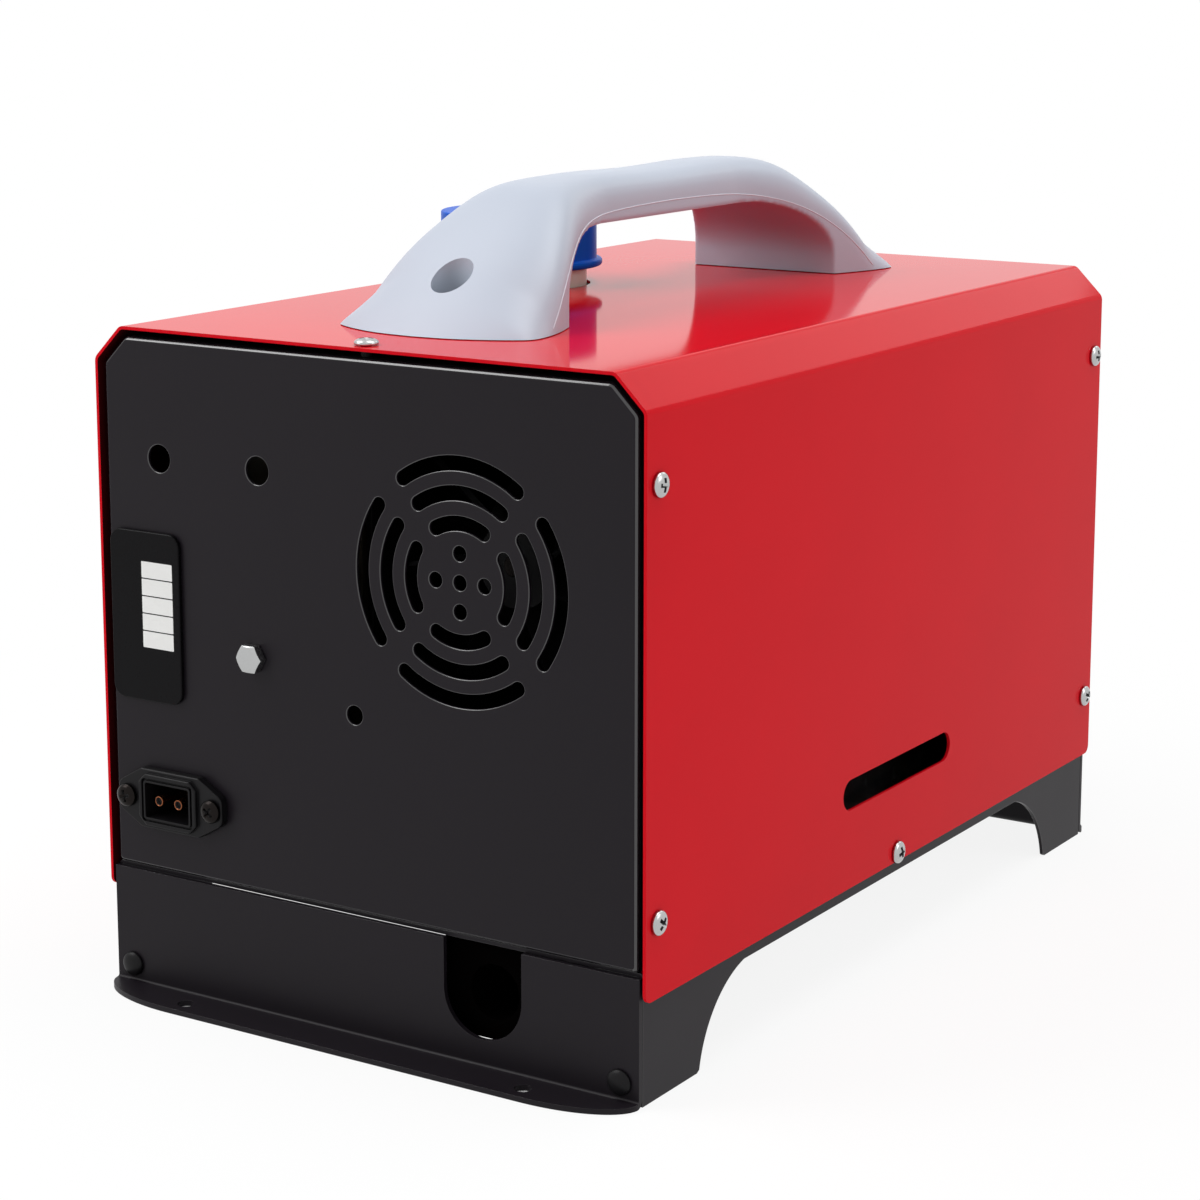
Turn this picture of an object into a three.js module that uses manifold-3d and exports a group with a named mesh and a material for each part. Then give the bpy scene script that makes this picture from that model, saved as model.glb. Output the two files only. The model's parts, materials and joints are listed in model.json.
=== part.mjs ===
// Portable diesel air heater, in millimetres, +Z up.
// The origin is on the floor under the middle of the case. The intake grille faces -Y, the warm-air
// outlet faces +Y, the fuel tank is on the -X side and the burner on the +X side.
import * as THREE from 'three';
import { mergeVertices } from 'three/addons/utils/BufferGeometryUtils.js';
import Module from 'manifold-3d';

// ---------- driving dimensions ----------
const GAP = 0.3; // clearance between pieces that seat on each other
const PAST = 1; // how far a cutter or a joined body runs past the face that it meets
const ARC_STEP = Math.PI / 8; // largest turn of one facet on a rounded corner

// Case: red shell, the two end panels and the base.
const CASE_WIDTH = 240;
const CASE_LENGTH = 374;
const CASE_TOP = 254;
const SHELL_SHEET = 1.2;
const SHELL_OVERLAP = 10;
const SHELL_CHAMFER = 12.5;
const SHELL_BEND = 3.6;
const SHELL_LOWER_CORNER = 3.5;
const SIDE_SLOT_LENGTH = 91;
const SIDE_SLOT_WIDTH = 12;
const SIDE_SLOT_RISE = 27;

const PANEL_SHEET = 1.5;
const PANEL_GAP = 2.6;
const PANEL_RECESS = 0.5;
const PANEL_RIM_DEPTH = 15;

const BASE_SHEET = 1.5;
const BASE_INSET = 2.5;
const DECK_TOP = 48;
const LEG_LENGTH = 40.2;
const LEG_ARCH_RADIUS = 40.6;
const LEG_ARCH_DROP = 7.2;
const LEG_ARCH_TOP = 32.5;
const APRON_SHEET = 2;
const APRON_DROP = 1.5;
const APRON_FLANGE = 16.5;
const APRON_FLANGE_SWEEP = 38;
const APRON_BEND = 3;
const FLANGE_HOLE_RADIUS = 3.25;
const FLANGE_HOLE_X = 76;
const FLANGE_HOLE_REACH = 9.5;
const EXHAUST_SLOT_WIDTH = 33.2;
const EXHAUST_SLOT_BOTTOM = 11.6;
const EXHAUST_OFFSET = 8.5;

// Fasteners.
const SCREW_HEAD_RADIUS = 4.4;
const SCREW_HEAD_HEIGHT = 2.5;
const SCREW_RADIUS = 2;
const SCREW_LENGTH = 8;
const HEAD_EDGE = 0.3; // share of a head's height that is its upright edge
const HEAD_CROWN = 0.6; // share of a head's radius that is its flat crown
const SCREW_EDGE_INSET = 7.5;
const SCREW_UPPER_DROP = 37.5;
const SCREW_LOWER_RISE = 17.3;
const SCREW_BASE_DROP = 6;
const PLUG_HEAD_RADIUS = 4.7;
const PLUG_HEAD_HEIGHT = 2.2;
const PLUG_RADIUS = 2.4;
const PLUG_LENGTH = 5.5;
const PLUG_EDGE_INSET = 7.8;
const PLUG_Z = 8.4;
const TAB_WIDTH = 18;
const TAB_TOP = 22;

// Rear panel features.
const GRILLE_SIDE_INSET = 76;
const BURNER_DROP = 78.6;
const GRILLE_RINGS = [
  { radius: 41.9, halfAngle: 35 },
  { radius: 31.5, halfAngle: 34 },
  { radius: 20.9, halfAngle: 29 },
];
const GRILLE_SLOT_WIDTH = 5.2;
const GRILLE_HOLE_RADIUS = 2.75;
const GRILLE_HOLE_RING = 10.3;
const CABLE_HOLE_RADIUS = 5.2;
const CABLE_HOLE_INSETS = [29.3, 75.3];
const CABLE_HOLE_DROP = 48;
const DRAIN_HOLE_RADIUS = 3.5;
const DRAIN_HOLE_INSET = 117.6;
const DRAIN_HOLE_RISE = 73.7;
const PLATE_WIDTH = 33.1;
const PLATE_HEIGHT = 64.5;
const PLATE_THICKNESS = 1.5;
const PLATE_CORNER = 5;
const PLATE_INSET = 5.7;
const PLATE_RISE = 65.8;

// Power inlet.
const INLET_INSET = 33;
const INLET_RISE = 28.5;
const INLET_FLANGE_WIDTH = 50;
const INLET_FLANGE_HEIGHT = 23;
const INLET_FLANGE_THICKNESS = 3.4;
const INLET_TIP_RADIUS = 4;
const INLET_TIP_HALF_HEIGHT = 5;
const INLET_SHOULDER_RADIUS = 1.6;
const INLET_SHROUD_WIDTH = 27.6;
const INLET_SHROUD_HEIGHT = 20;
const INLET_SHROUD_PROUD = 1.6;
const INLET_SHROUD_CHAMFER = 3.2;
const INLET_OPENING_WIDTH = 21;
const INLET_OPENING_HEIGHT = 13.5;
const INLET_OPENING_DEPTH = 16;
const INLET_BODY_DEPTH = 22;
const INLET_SCREW_SPACING = 40.6;
const INLET_PIN_RADIUS = 2;
const INLET_PIN_SPACING = 9.3;
const INLET_PIN_LENGTH = 15;
const INLET_PIN_TAIL = 6;
const INLET_PIN_POINT = 1;

// Carrying handle.
const HANDLE_LENGTH = 309;
const HANDLE_HALF_WIDTH = 44;
const HANDLE_NOSE = 14.5;
const HANDLE_RISE = 51.2;
const HANDLE_SLOPE = 0.727;
const HANDLE_LIP = 1.2;
const HANDLE_DIP = 0.9;
const FOOT_LENGTH = 52.5;
const FOOT_WALL_HEIGHT = 7.7;
const GRIP_HALF_WIDTH = 17;
const GRIP_CLEARANCE = 32.7;
const GRIP_PARTING = 37.7;
const GRIP_TAPER_END = 108;
const ARCH_REACH = 48;
const HANDLE_ROUNDNESS = 3.2;
const HANDLE_NOSE_BLEND = 4;
const HANDLE_CREST_BLEND = 7;
const HANDLE_PARTING_CLIMB = 1.17;
const HANDLE_MIN_CROWN = 0.2;
const HANDLE_FIRST_RING = 0.4;
const HANDLE_RING_SPACING = 1.6; // above 1, the rings crowd towards the tip of each foot
const COUNTERBORE_RADIUS = 7.8;
const COUNTERBORE_FLOOR = 8;
const COUNTERBORE_INSET = 26.9;
const HANDLE_SCREW_RADIUS = 3;
const HANDLE_SCREW_HEAD_RADIUS = 5.6;
const HANDLE_SCREW_HEAD_HEIGHT = 3.6;
const HANDLE_SCREW_LENGTH = 18;

// Fuel tank and cap.
const TANK_SIDE_INSET = 6;
const TANK_CLEARANCE = 6;
const TANK_END_INSET = 32;
const TANK_WALL = 2.5;
const TANK_CORNER = 14;
const TANK_RECESS_HEIGHT = 48;
const TANK_FOOT_LENGTH = 26;
const NECK_OFFSET = 6.6;
const NECK_Y = 6;
const NECK_RADIUS = 27.5;
const NECK_WALL = 3;
const NECK_HOLE_CLEARANCE = 2;
const CAP_WALL = 3.5;
const CAP_RIM_WIDTH = 2.3;
const CAP_RISE = 7.5;
const CAP_RIM_HEIGHT = 3;
const CAP_HEIGHT = 22.5;
const CAP_CEILING = 3;
const CAP_CORNER = 1.6;
const THREAD_CLEARANCE = 1;
const GASKET_THICKNESS = 2.4;
const TANK_BOLT_INSET = 72.2;
const TANK_BOLT_RISE = 40.8;
const TANK_BOLT_FLATS = 10;
const TANK_BOLT_HEAD_HEIGHT = 4;
const TANK_BOLT_RADIUS = 3;
const TANK_BOLT_LENGTH = 22;
const TANK_BOSS_RADIUS = 9;

// Burner unit, on an axis parallel to Y.
const DUCT_HALF_WIDTH = 60;
const DUCT_HALF_HEIGHT = 62;
const DUCT_WALL = 2.5;
const DUCT_CORNER = 18;
const DUCT_REAR_INSET = 27;
const DUCT_FRONT_INSET = 37;
const STAND_SHEET = 2;
const STAND_HALF_WIDTH = 52;
const STAND_FOOT = 12;
const STAND_OVERHANG = 36;
const SHAFT_RADIUS = 4;
const SHAFT_REAR_PROUD = 2;
const SHAFT_FRONT_PROUD = 4;
const FAN_CLEARANCE = 7.5;
const FAN_HUB_RADIUS = 16;
const FAN_BLADES = 7;
const FAN_DEPTH = 18;
const FAN_SETBACK = 8;
const BLADE_PITCH = 0.6;
const BLADE_THICKNESS = 2;
const MOTOR_RADIUS = 30;
const MOTOR_LENGTH = 52;
const MOTOR_SETBACK = 6;
const SPIDER_THICKNESS = 6;
const SPIDER_SETBACK = 16;
const SPIDER_RING = 6;
const SPIDER_ARM = 8;
const BLOWER_RADIUS = 30;
const BLOWER_DEPTH = 12;
const BLOWER_SETBACK = 12;
const BLOWER_VANES = 7;
const EXCHANGER_REAR_SETBACK = 8;
const EXCHANGER_FRONT_SETBACK = 20;
const EXCHANGER_TUBE = 34;
const EXCHANGER_WALL = 4;
const EXCHANGER_FIN_CLEARANCE = 5.5;
const EXCHANGER_FINS = 16;
const EXCHANGER_FIN_THICKNESS = 2;
const EXCHANGER_FOOT_HALF_WIDTH = 27;
const EXCHANGER_FOOT_SETBACK = 6;
const EXCHANGER_FOOT_LENGTH = 68;
const BURNER_RADIUS = 24;
const BURNER_WALL = 1.5;
const BURNER_LENGTH = 100;
const GLOW_RADIUS = 3;
const GLOW_SETBACK = 12;
const GLOW_BOTTOM_RISE = 12;
const GLOW_CLEARANCE = 3.5;
const BOARD_WIDTH = 72;
const BOARD_LENGTH = 50;
const BOARD_HEIGHT = 11;
const BOARD_SETBACK = 8;
const EXHAUST_RADIUS = 12;
const EXHAUST_SETBACK = 18;
const INTAKE_RADIUS = 10;
const INTAKE_OFFSET = -14;
const INTAKE_SETBACK = 52;
const PIPE_WALL = 1.5;
const PIPE_BOTTOM = 26;
const PIPE_HOLE_CLEARANCE = 2.5;
const EXHAUST_BEND = 26;
const SILENCER_WIDTH = 50;
const SILENCER_BOTTOM = 9;
const SILENCER_DROP = 2;
const SILENCER_CORNER = 6;
const SILENCER_LENGTH = 88;
const SILENCER_END_GAP = 6;

// Fuel pump and hoses.
const PUMP_RADIUS = 13;
const PUMP_LENGTH = 92;
const PUMP_RISE = 20;
const PUMP_Y = -16;
const PUMP_SIDE_INSET = 46;
const PUMP_NIPPLE_RADIUS = 3;
const PUMP_NIPPLE_LENGTH = 8;
const PUMP_SADDLE_LENGTH = 24;
const HOSE_RADIUS = 2.6;
const HOSE_SIDES = 6;
const HOSE_STEPS = 16;
const HOSE_REACH = 26;
const HOSE_LEAD = 16;
const HOSE_SLACK = 8;

// Warm-air outlet.
const COLLAR_RADIUS = 44;
const COLLAR_WALL = 2.4;
const COLLAR_FLANGE_WIDTH = 8;
const COLLAR_FLANGE_THICKNESS = 2.5;
const OUTLET_RING_CLEARANCE = 0.4;
const OUTLET_RING_WALL = 3.6;
const OUTLET_RING_DEPTH = 24;
const OUTLET_BEZEL_OVERLAP = 3;
const OUTLET_BEZEL_HEIGHT = 6;
const OUTLET_BEZEL_EDGE = 2;
const LOUVRE_PITCH = 20;
const LOUVRE_CHORD = 18;
const LOUVRE_THICKNESS = 2.4;
const LOUVRE_EDGE = 0.7;
const LOUVRE_TILT = 50;
const LOUVRE_PIN_RADIUS = 1.5;
const LOUVRE_PIN_DEPTH = 2.4;
const LOUVRE_SETBACK = 12;

// Control panel beside the outlet.
const CONTROL_DROP = 68;
const CONTROL_WIDTH = 78;
const CONTROL_HEIGHT = 58;
const CONTROL_CORNER = 7;
const CONTROL_PROUD = 6;
const CONTROL_WALL = 2.2;
const CONTROL_SKIRT_INSET = 5;
const CONTROL_SKIRT_DEPTH = 12;
const WINDOW_WIDTH = 60;
const WINDOW_HEIGHT = 27;
const WINDOW_THICKNESS = 1.2;
const WINDOW_LEDGE = 2;
const WINDOW_CORNER = 2;
const WINDOW_RISE = 9;
const BUTTON_RADIUS = 5.4;
const BUTTON_PITCH = 19;
const BUTTON_DROP = 14.5;
const BUTTON_PROUD = 1.8;
const BUTTON_COLLAR = 1.1;
const BUTTON_COLLAR_DEPTH = 3;
const BUTTON_EDGE = 0.6;

// ---------- places worked out from the dimensions ----------
const HALF_WIDTH = CASE_WIDTH / 2;
const HALF_LENGTH = CASE_LENGTH / 2;
const SHELL_BOTTOM = DECK_TOP - SHELL_OVERLAP;
const APRON_TOP = DECK_TOP - APRON_DROP;
const SIDE_SLOT_Z = DECK_TOP + SIDE_SLOT_RISE;
const SCREW_UPPER_Z = CASE_TOP - SCREW_UPPER_DROP;
const SCREW_LOWER_Z = DECK_TOP + SCREW_LOWER_RISE;
const SCREW_BASE_Z = DECK_TOP - SCREW_BASE_DROP;
const BURNER_Z = CASE_TOP - BURNER_DROP;
const CABLE_HOLE_Z = CASE_TOP - CABLE_HOLE_DROP;
const DRAIN_HOLE_Z = DECK_TOP + DRAIN_HOLE_RISE;
const PLATE_BOTTOM = DECK_TOP + PLATE_RISE;
const INLET_Z = DECK_TOP + INLET_RISE;
const BURNER_X = HALF_WIDTH - GRILLE_SIDE_INSET;
const PANEL_INSET = SHELL_SHEET + PANEL_GAP;
const PANEL_FACE = HALF_LENGTH - PANEL_RECESS;
const PANEL_BOTTOM = DECK_TOP + GAP;
const BASE_HALF_WIDTH = HALF_WIDTH - BASE_INSET;
const HANDLE_BASE = CASE_TOP + GAP;
const SCREW_Y = HALF_LENGTH - SCREW_EDGE_INSET;
const HANDLE_SCREW_Y = HANDLE_LENGTH / 2 - COUNTERBORE_INSET;
const EXHAUST_X = BURNER_X + EXHAUST_OFFSET;
const TANK_LEFT = -HALF_WIDTH + TANK_SIDE_INSET;
const TANK_RIGHT = BURNER_X - DUCT_HALF_WIDTH - TANK_CLEARANCE;
const TANK_END = HALF_LENGTH - TANK_END_INSET;
const TANK_TOP = CASE_TOP - TANK_SIDE_INSET;
const TANK_RECESS_TOP = DECK_TOP + TANK_RECESS_HEIGHT;
const TANK_BOLT_Z = TANK_RECESS_TOP + TANK_BOLT_RISE;
const NECK_X = (TANK_LEFT + TANK_RIGHT) / 2 + NECK_OFFSET;
const CAP_RADIUS = NECK_RADIUS + THREAD_CLEARANCE + CAP_WALL;
const CAP_RIM_RADIUS = CAP_RADIUS + CAP_RIM_WIDTH;
const CAP_BOTTOM = CASE_TOP + CAP_RISE;
const CAP_TOP = CAP_BOTTOM + CAP_HEIGHT;
const GASKET_TOP = CAP_TOP - CAP_CEILING - GAP;
const NECK_TOP = GASKET_TOP - GASKET_THICKNESS - GAP;
const DUCT_REAR = -HALF_LENGTH + DUCT_REAR_INSET;
const DUCT_FRONT = HALF_LENGTH - DUCT_FRONT_INSET;
const DUCT_BOTTOM = BURNER_Z - DUCT_HALF_HEIGHT;
const STAND_TOP = DUCT_BOTTOM - GAP;
const FAN_RADIUS = DUCT_HALF_WIDTH - DUCT_WALL - FAN_CLEARANCE;
const FAN_REAR = DUCT_REAR + FAN_SETBACK;
const MOTOR_REAR = FAN_REAR + FAN_DEPTH + MOTOR_SETBACK;
const SPIDER_REAR = MOTOR_REAR + SPIDER_SETBACK;
const BOARD_REAR = SPIDER_REAR + SPIDER_THICKNESS + BOARD_SETBACK;
const BLOWER_REAR = MOTOR_REAR + MOTOR_LENGTH + BLOWER_SETBACK;
const SHAFT_REAR = FAN_REAR - SHAFT_REAR_PROUD;
const SHAFT_FRONT = BLOWER_REAR + BLOWER_DEPTH + SHAFT_FRONT_PROUD;
const EXCHANGER_REAR = SHAFT_FRONT + EXCHANGER_REAR_SETBACK;
const EXCHANGER_FRONT = DUCT_FRONT - EXCHANGER_FRONT_SETBACK;
const EXCHANGER_FIN_RADIUS = DUCT_HALF_WIDTH - DUCT_WALL - EXCHANGER_FIN_CLEARANCE;
const EXCHANGER_FOOT_REAR = EXCHANGER_REAR + EXCHANGER_FOOT_SETBACK;
const EXCHANGER_FOOT_FRONT = EXCHANGER_FOOT_REAR + EXCHANGER_FOOT_LENGTH;
const GLOW_Y = EXCHANGER_REAR + GLOW_SETBACK;
const GLOW_TOP = BURNER_Z + DUCT_HALF_HEIGHT - DUCT_WALL - GLOW_CLEARANCE;
const EXHAUST_Y = EXCHANGER_FOOT_REAR + EXHAUST_SETBACK;
const INTAKE_Y = EXCHANGER_FOOT_REAR + INTAKE_SETBACK;
const STAND_REAR = EXCHANGER_FOOT_REAR - STAND_OVERHANG;
const STAND_FRONT = EXCHANGER_FOOT_FRONT + STAND_OVERHANG;
const SILENCER_TOP = DECK_TOP - BASE_SHEET - SILENCER_DROP;
const PUMP_X = -HALF_WIDTH + PUMP_SIDE_INSET;
const PUMP_Z = DECK_TOP + PUMP_RISE;
const PUMP_REAR = PUMP_Y - PUMP_LENGTH / 2;
const PUMP_FRONT = PUMP_Y + PUMP_LENGTH / 2;
const COLLAR_FLANGE_RADIUS = COLLAR_RADIUS + COLLAR_FLANGE_WIDTH;
const COLLAR_FRONT = PANEL_FACE + GAP + COLLAR_FLANGE_THICKNESS;
const BEZEL_REAR = COLLAR_FRONT + GAP;
const BEZEL_FRONT = BEZEL_REAR + OUTLET_BEZEL_HEIGHT;
const OUTLET_BEZEL_RADIUS = COLLAR_RADIUS + OUTLET_BEZEL_OVERLAP;
const OUTLET_RING_RADIUS = COLLAR_RADIUS - COLLAR_WALL - OUTLET_RING_CLEARANCE;
const OUTLET_BORE = OUTLET_RING_RADIUS - OUTLET_RING_WALL;
const LOUVRE_Y = BEZEL_FRONT - LOUVRE_SETBACK;
// The control panel is midway between the panel's edge and the outlet's flange.
const CONTROL_X = (PANEL_INSET - HALF_WIDTH + BURNER_X - COLLAR_FLANGE_RADIUS) / 2;
const CONTROL_Z = CASE_TOP - CONTROL_DROP;
const CONTROL_REAR = PANEL_FACE + GAP;
const CONTROL_FRONT = CONTROL_REAR + CONTROL_PROUD;
const ENDS = { rear: -1, front: 1 };
const SIDES = { left: -1, right: 1 };

// ---------- finishes ----------
const finish = (color, roughness, metalness = 0) =>
  new THREE.MeshStandardMaterial({ color, roughness, metalness });
const redPaint = () => finish(0xbe1a24, 0.22, 0.1);
const blackPaint = () => finish(0x26242a, 0.5, 0.1);
const greyPlastic = () => finish(0xb4b9c4, 0.5);
const blackPlastic = () => finish(0x1b1b1d, 0.45);
const bluePlastic = () => finish(0x1d57b8, 0.35);
const tankPlastic = () => finish(0xe9e6da, 0.45);
const zincPlate = () => finish(0xc9ccd0, 0.3, 0.9);
const blackSteel = () => finish(0x1c1c1e, 0.35, 0.8);
const castAluminium = () => finish(0xa9abad, 0.5, 0.9);
const stainless = () => finish(0xb5b2ad, 0.35, 0.9);
const copper = () => finish(0xc98a5a, 0.3, 1);
const rubber = () => finish(0x232323, 0.85);
const screenGlass = () => finish(0x0b1013, 0.12);

// ---------- solids ----------
const vector = (x, y, z) => new THREE.Vector3(x, y, z);
const wasm = await Module();
wasm.setup();

// The way each extrusion axis turns the plane that its outline is drawn in:
// X takes an outline in (y, z), Y one in (x, z) and Z one in (x, y).
const DRAWN = {
  X: [vector(0, 1, 0), vector(0, 0, 1), vector(1, 0, 0)],
  Y: [vector(1, 0, 0), vector(0, 0, 1), vector(0, -1, 0)],
  Z: [vector(1, 0, 0), vector(0, 1, 0), vector(0, 0, 1)],
};

function solid(geometry) {
  geometry.deleteAttribute('normal');
  geometry.deleteAttribute('uv');
  const merged = mergeVertices(geometry, 1e-4);
  const index = merged.index.array;
  const faces = [];
  for (let i = 0; i < index.length; i += 3) {
    const [a, b, c] = [index[i], index[i + 1], index[i + 2]];
    if (a !== b && b !== c && c !== a) faces.push(a, b, c);
  }
  const vertProperties = Float32Array.from(merged.attributes.position.array);
  return new wasm.Manifold(
    new wasm.Mesh({ numProp: 3, vertProperties, triVerts: Uint32Array.from(faces) }),
  );
}

function extrude(outline, axis, from, to, holes = []) {
  const shape = new THREE.Shape(outline);
  shape.holes = holes.map((hole) => new THREE.Path(hole));
  const geometry = new THREE.ExtrudeGeometry(shape, { depth: to - from, bevelEnabled: false });
  const placed = new THREE.Matrix4().makeBasis(...DRAWN[axis]);
  placed.setPosition(DRAWN[axis][2].clone().multiplyScalar(axis === 'Y' ? -to : from));
  return solid(geometry.applyMatrix4(placed));
}

function block(x, y, z) {
  const geometry = new THREE.BoxGeometry(x[1] - x[0], y[1] - y[0], z[1] - z[0]);
  geometry.translate((x[0] + x[1]) / 2, (y[0] + y[1]) / 2, (z[0] + z[1]) / 2);
  return solid(geometry);
}

// Turns a profile of [radius, height] pairs about the line through `at` along `direction`.
function lathe(profile, at, direction, segments = 24) {
  const geometry = new THREE.LatheGeometry(profile.map(([r, h]) => new THREE.Vector2(r, h)), segments);
  const turn = new THREE.Quaternion().setFromUnitVectors(vector(0, 1, 0), direction);
  geometry.applyQuaternion(turn);
  geometry.translate(...at);
  return solid(geometry);
}

function drill(axis, [u, v], radius, from, to, sides = 16) {
  return extrude(circle(u, v, radius, sides), axis, from, to);
}

const join = (...bodies) => bodies.reduce((whole, body) => whole.add(body));
const cut = (body, ...cutters) => cutters.reduce((left, cutter) => left.subtract(cutter), body);

// ---------- outlines ----------
function arc(cx, cy, radius, from, to, steps) {
  return Array.from({ length: steps + 1 }, (_, i) => {
    const angle = from + ((to - from) * i) / steps;
    return new THREE.Vector2(cx + radius * Math.cos(angle), cy + radius * Math.sin(angle));
  });
}

const circle = (cx, cy, radius, sides = 16) => arc(cx, cy, radius, 0, 2 * Math.PI, sides).slice(1);

// A closed outline from corners [x, y, radius], each rounded by its radius.
function rounded(corners) {
  return corners.flatMap(([x, y, radius = 0], i) => {
    const corner = new THREE.Vector2(x, y);
    if (!radius) return [corner];
    const before = new THREE.Vector2(...corners.at(i - 1)).sub(corner).normalize();
    const after = new THREE.Vector2(...corners[(i + 1) % corners.length]).sub(corner).normalize();
    const half = Math.acos(before.dot(after)) / 2;
    const inward = before.clone().add(after).normalize();
    const centre = corner.clone().addScaledVector(inward, radius / Math.sin(half));
    const start = corner.clone().addScaledVector(before, radius / Math.tan(half)).sub(centre);
    const end = corner.clone().addScaledVector(after, radius / Math.tan(half)).sub(centre);
    const sweep = Math.atan2(start.cross(end), start.dot(end));
    const steps = Math.max(2, Math.ceil(Math.abs(sweep) / ARC_STEP));
    return arc(centre.x, centre.y, radius, start.angle(), start.angle() + sweep, steps);
  });
}

const rectangle = (cx, cy, width, height, radius = 0) =>
  rounded([
    [cx - width / 2, cy - height / 2, radius],
    [cx + width / 2, cy - height / 2, radius],
    [cx + width / 2, cy + height / 2, radius],
    [cx - width / 2, cy + height / 2, radius],
  ]);

const obround = (cx, cy, length, width, steps = 6) => [
  ...arc(cx + (length - width) / 2, cy, width / 2, -Math.PI / 2, Math.PI / 2, steps),
  ...arc(cx - (length - width) / 2, cy, width / 2, Math.PI / 2, 1.5 * Math.PI, steps),
];

function arcSlot(cx, cy, radius, width, middle, halfAngle) {
  const [from, to] = [middle - halfAngle, middle + halfAngle];
  const end = (angle, first) =>
    arc(cx + radius * Math.cos(angle), cy + radius * Math.sin(angle), width / 2, first, first + Math.PI, 3);
  return [
    ...arc(cx, cy, radius + width / 2, from, to, 6).slice(1, -1),
    ...end(to, to),
    ...arc(cx, cy, radius - width / 2, to, from, 6).slice(1, -1),
    ...end(from, from + Math.PI),
  ];
}

// The arch of the case, offset inwards and closed along its bottom.
function caseArch(inset, bottom, bend) {
  const side = HALF_WIDTH - inset;
  const top = CASE_TOP - inset;
  const run = SHELL_CHAMFER - inset * (2 - Math.SQRT2);
  return [
    [side, bottom],
    [side, top - run, bend],
    [side - run, top, bend],
    [run - side, top, bend],
    [-side, top - run, bend],
    [-side, bottom],
  ];
}

// ---------- clearance holes for the case screws ----------
const sideScrews = [];
for (const end of Object.keys(ENDS)) {
  sideScrews.push({ name: `${end}_upper`, y: ENDS[end] * SCREW_Y, z: SCREW_UPPER_Z });
  sideScrews.push({ name: `${end}_lower`, y: ENDS[end] * SCREW_Y, z: SCREW_LOWER_Z });
}
sideScrews.push({ name: 'base', y: 0, z: SCREW_BASE_Z });

function screwHoles() {
  const radius = SCREW_RADIUS + GAP;
  const across = sideScrews.flatMap(({ y, z }) => [
    drill('X', [y, z], radius, -HALF_WIDTH - PAST, SCREW_LENGTH + PAST - HALF_WIDTH, 8),
    drill('X', [y, z], radius, HALF_WIDTH - SCREW_LENGTH - PAST, HALF_WIDTH + PAST, 8),
  ]);
  const top = drill('Z', [0, -SCREW_Y], radius, CASE_TOP - SCREW_LENGTH - PAST, CASE_TOP + PAST, 8);
  return join(...across, top);
}

// ---------- case ----------
function outerShell() {
  const outer = rounded(caseArch(0, SHELL_BOTTOM, SHELL_BEND));
  const inner = rounded(caseArch(SHELL_SHEET, SHELL_BOTTOM, SHELL_BEND - SHELL_SHEET));
  const arch = extrude([...outer, ...inner.reverse()], 'Y', -HALF_LENGTH, HALF_LENGTH);
  const sideView = rounded([
    [-HALF_LENGTH, SHELL_BOTTOM, SHELL_LOWER_CORNER],
    [HALF_LENGTH, SHELL_BOTTOM, SHELL_LOWER_CORNER],
    [HALF_LENGTH, CASE_TOP + PAST],
    [-HALF_LENGTH, CASE_TOP + PAST],
  ]);
  const trimmed = arch.intersect(extrude(sideView, 'X', -HALF_WIDTH - PAST, HALF_WIDTH + PAST));
  const slot = obround(0, SIDE_SLOT_Z, SIDE_SLOT_LENGTH, SIDE_SLOT_WIDTH);
  const neckHole = NECK_RADIUS + NECK_HOLE_CLEARANCE;
  const [below, above] = [CASE_TOP - SHELL_SHEET - PAST, CASE_TOP + PAST];
  const topHole = (y) => drill('Z', [0, y], HANDLE_SCREW_RADIUS + GAP, below, above, 12);
  return cut(
    trimmed,
    extrude(slot, 'X', -HALF_WIDTH - PAST, HALF_WIDTH + PAST),
    drill('Z', [NECK_X, NECK_Y], neckHole, below, above, 28),
    topHole(-HANDLE_SCREW_Y),
    topHole(HANDLE_SCREW_Y),
    screwHoles(),
  );
}

// A flat face with its edges bent back into a rim; `end` is -1 at the rear and 1 at the front.
function casePanel(end, holes) {
  const between = (near, far) => [end * near, end * far].sort((a, b) => a - b);
  const outline = rounded(caseArch(PANEL_INSET, PANEL_BOTTOM, SHELL_BEND));
  const hollow = caseArch(PANEL_INSET + PANEL_SHEET, PANEL_BOTTOM + PANEL_SHEET, SHELL_BEND - PANEL_SHEET);
  const face = extrude(outline, 'Y', ...between(PANEL_FACE, PANEL_FACE - PANEL_SHEET), holes);
  const rimEnds = between(PANEL_FACE - PANEL_SHEET / 2, PANEL_FACE - PANEL_RIM_DEPTH);
  const rim = extrude(outline, 'Y', ...rimEnds, [rounded(hollow)]);
  return cut(join(face, rim), screwHoles());
}

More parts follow.
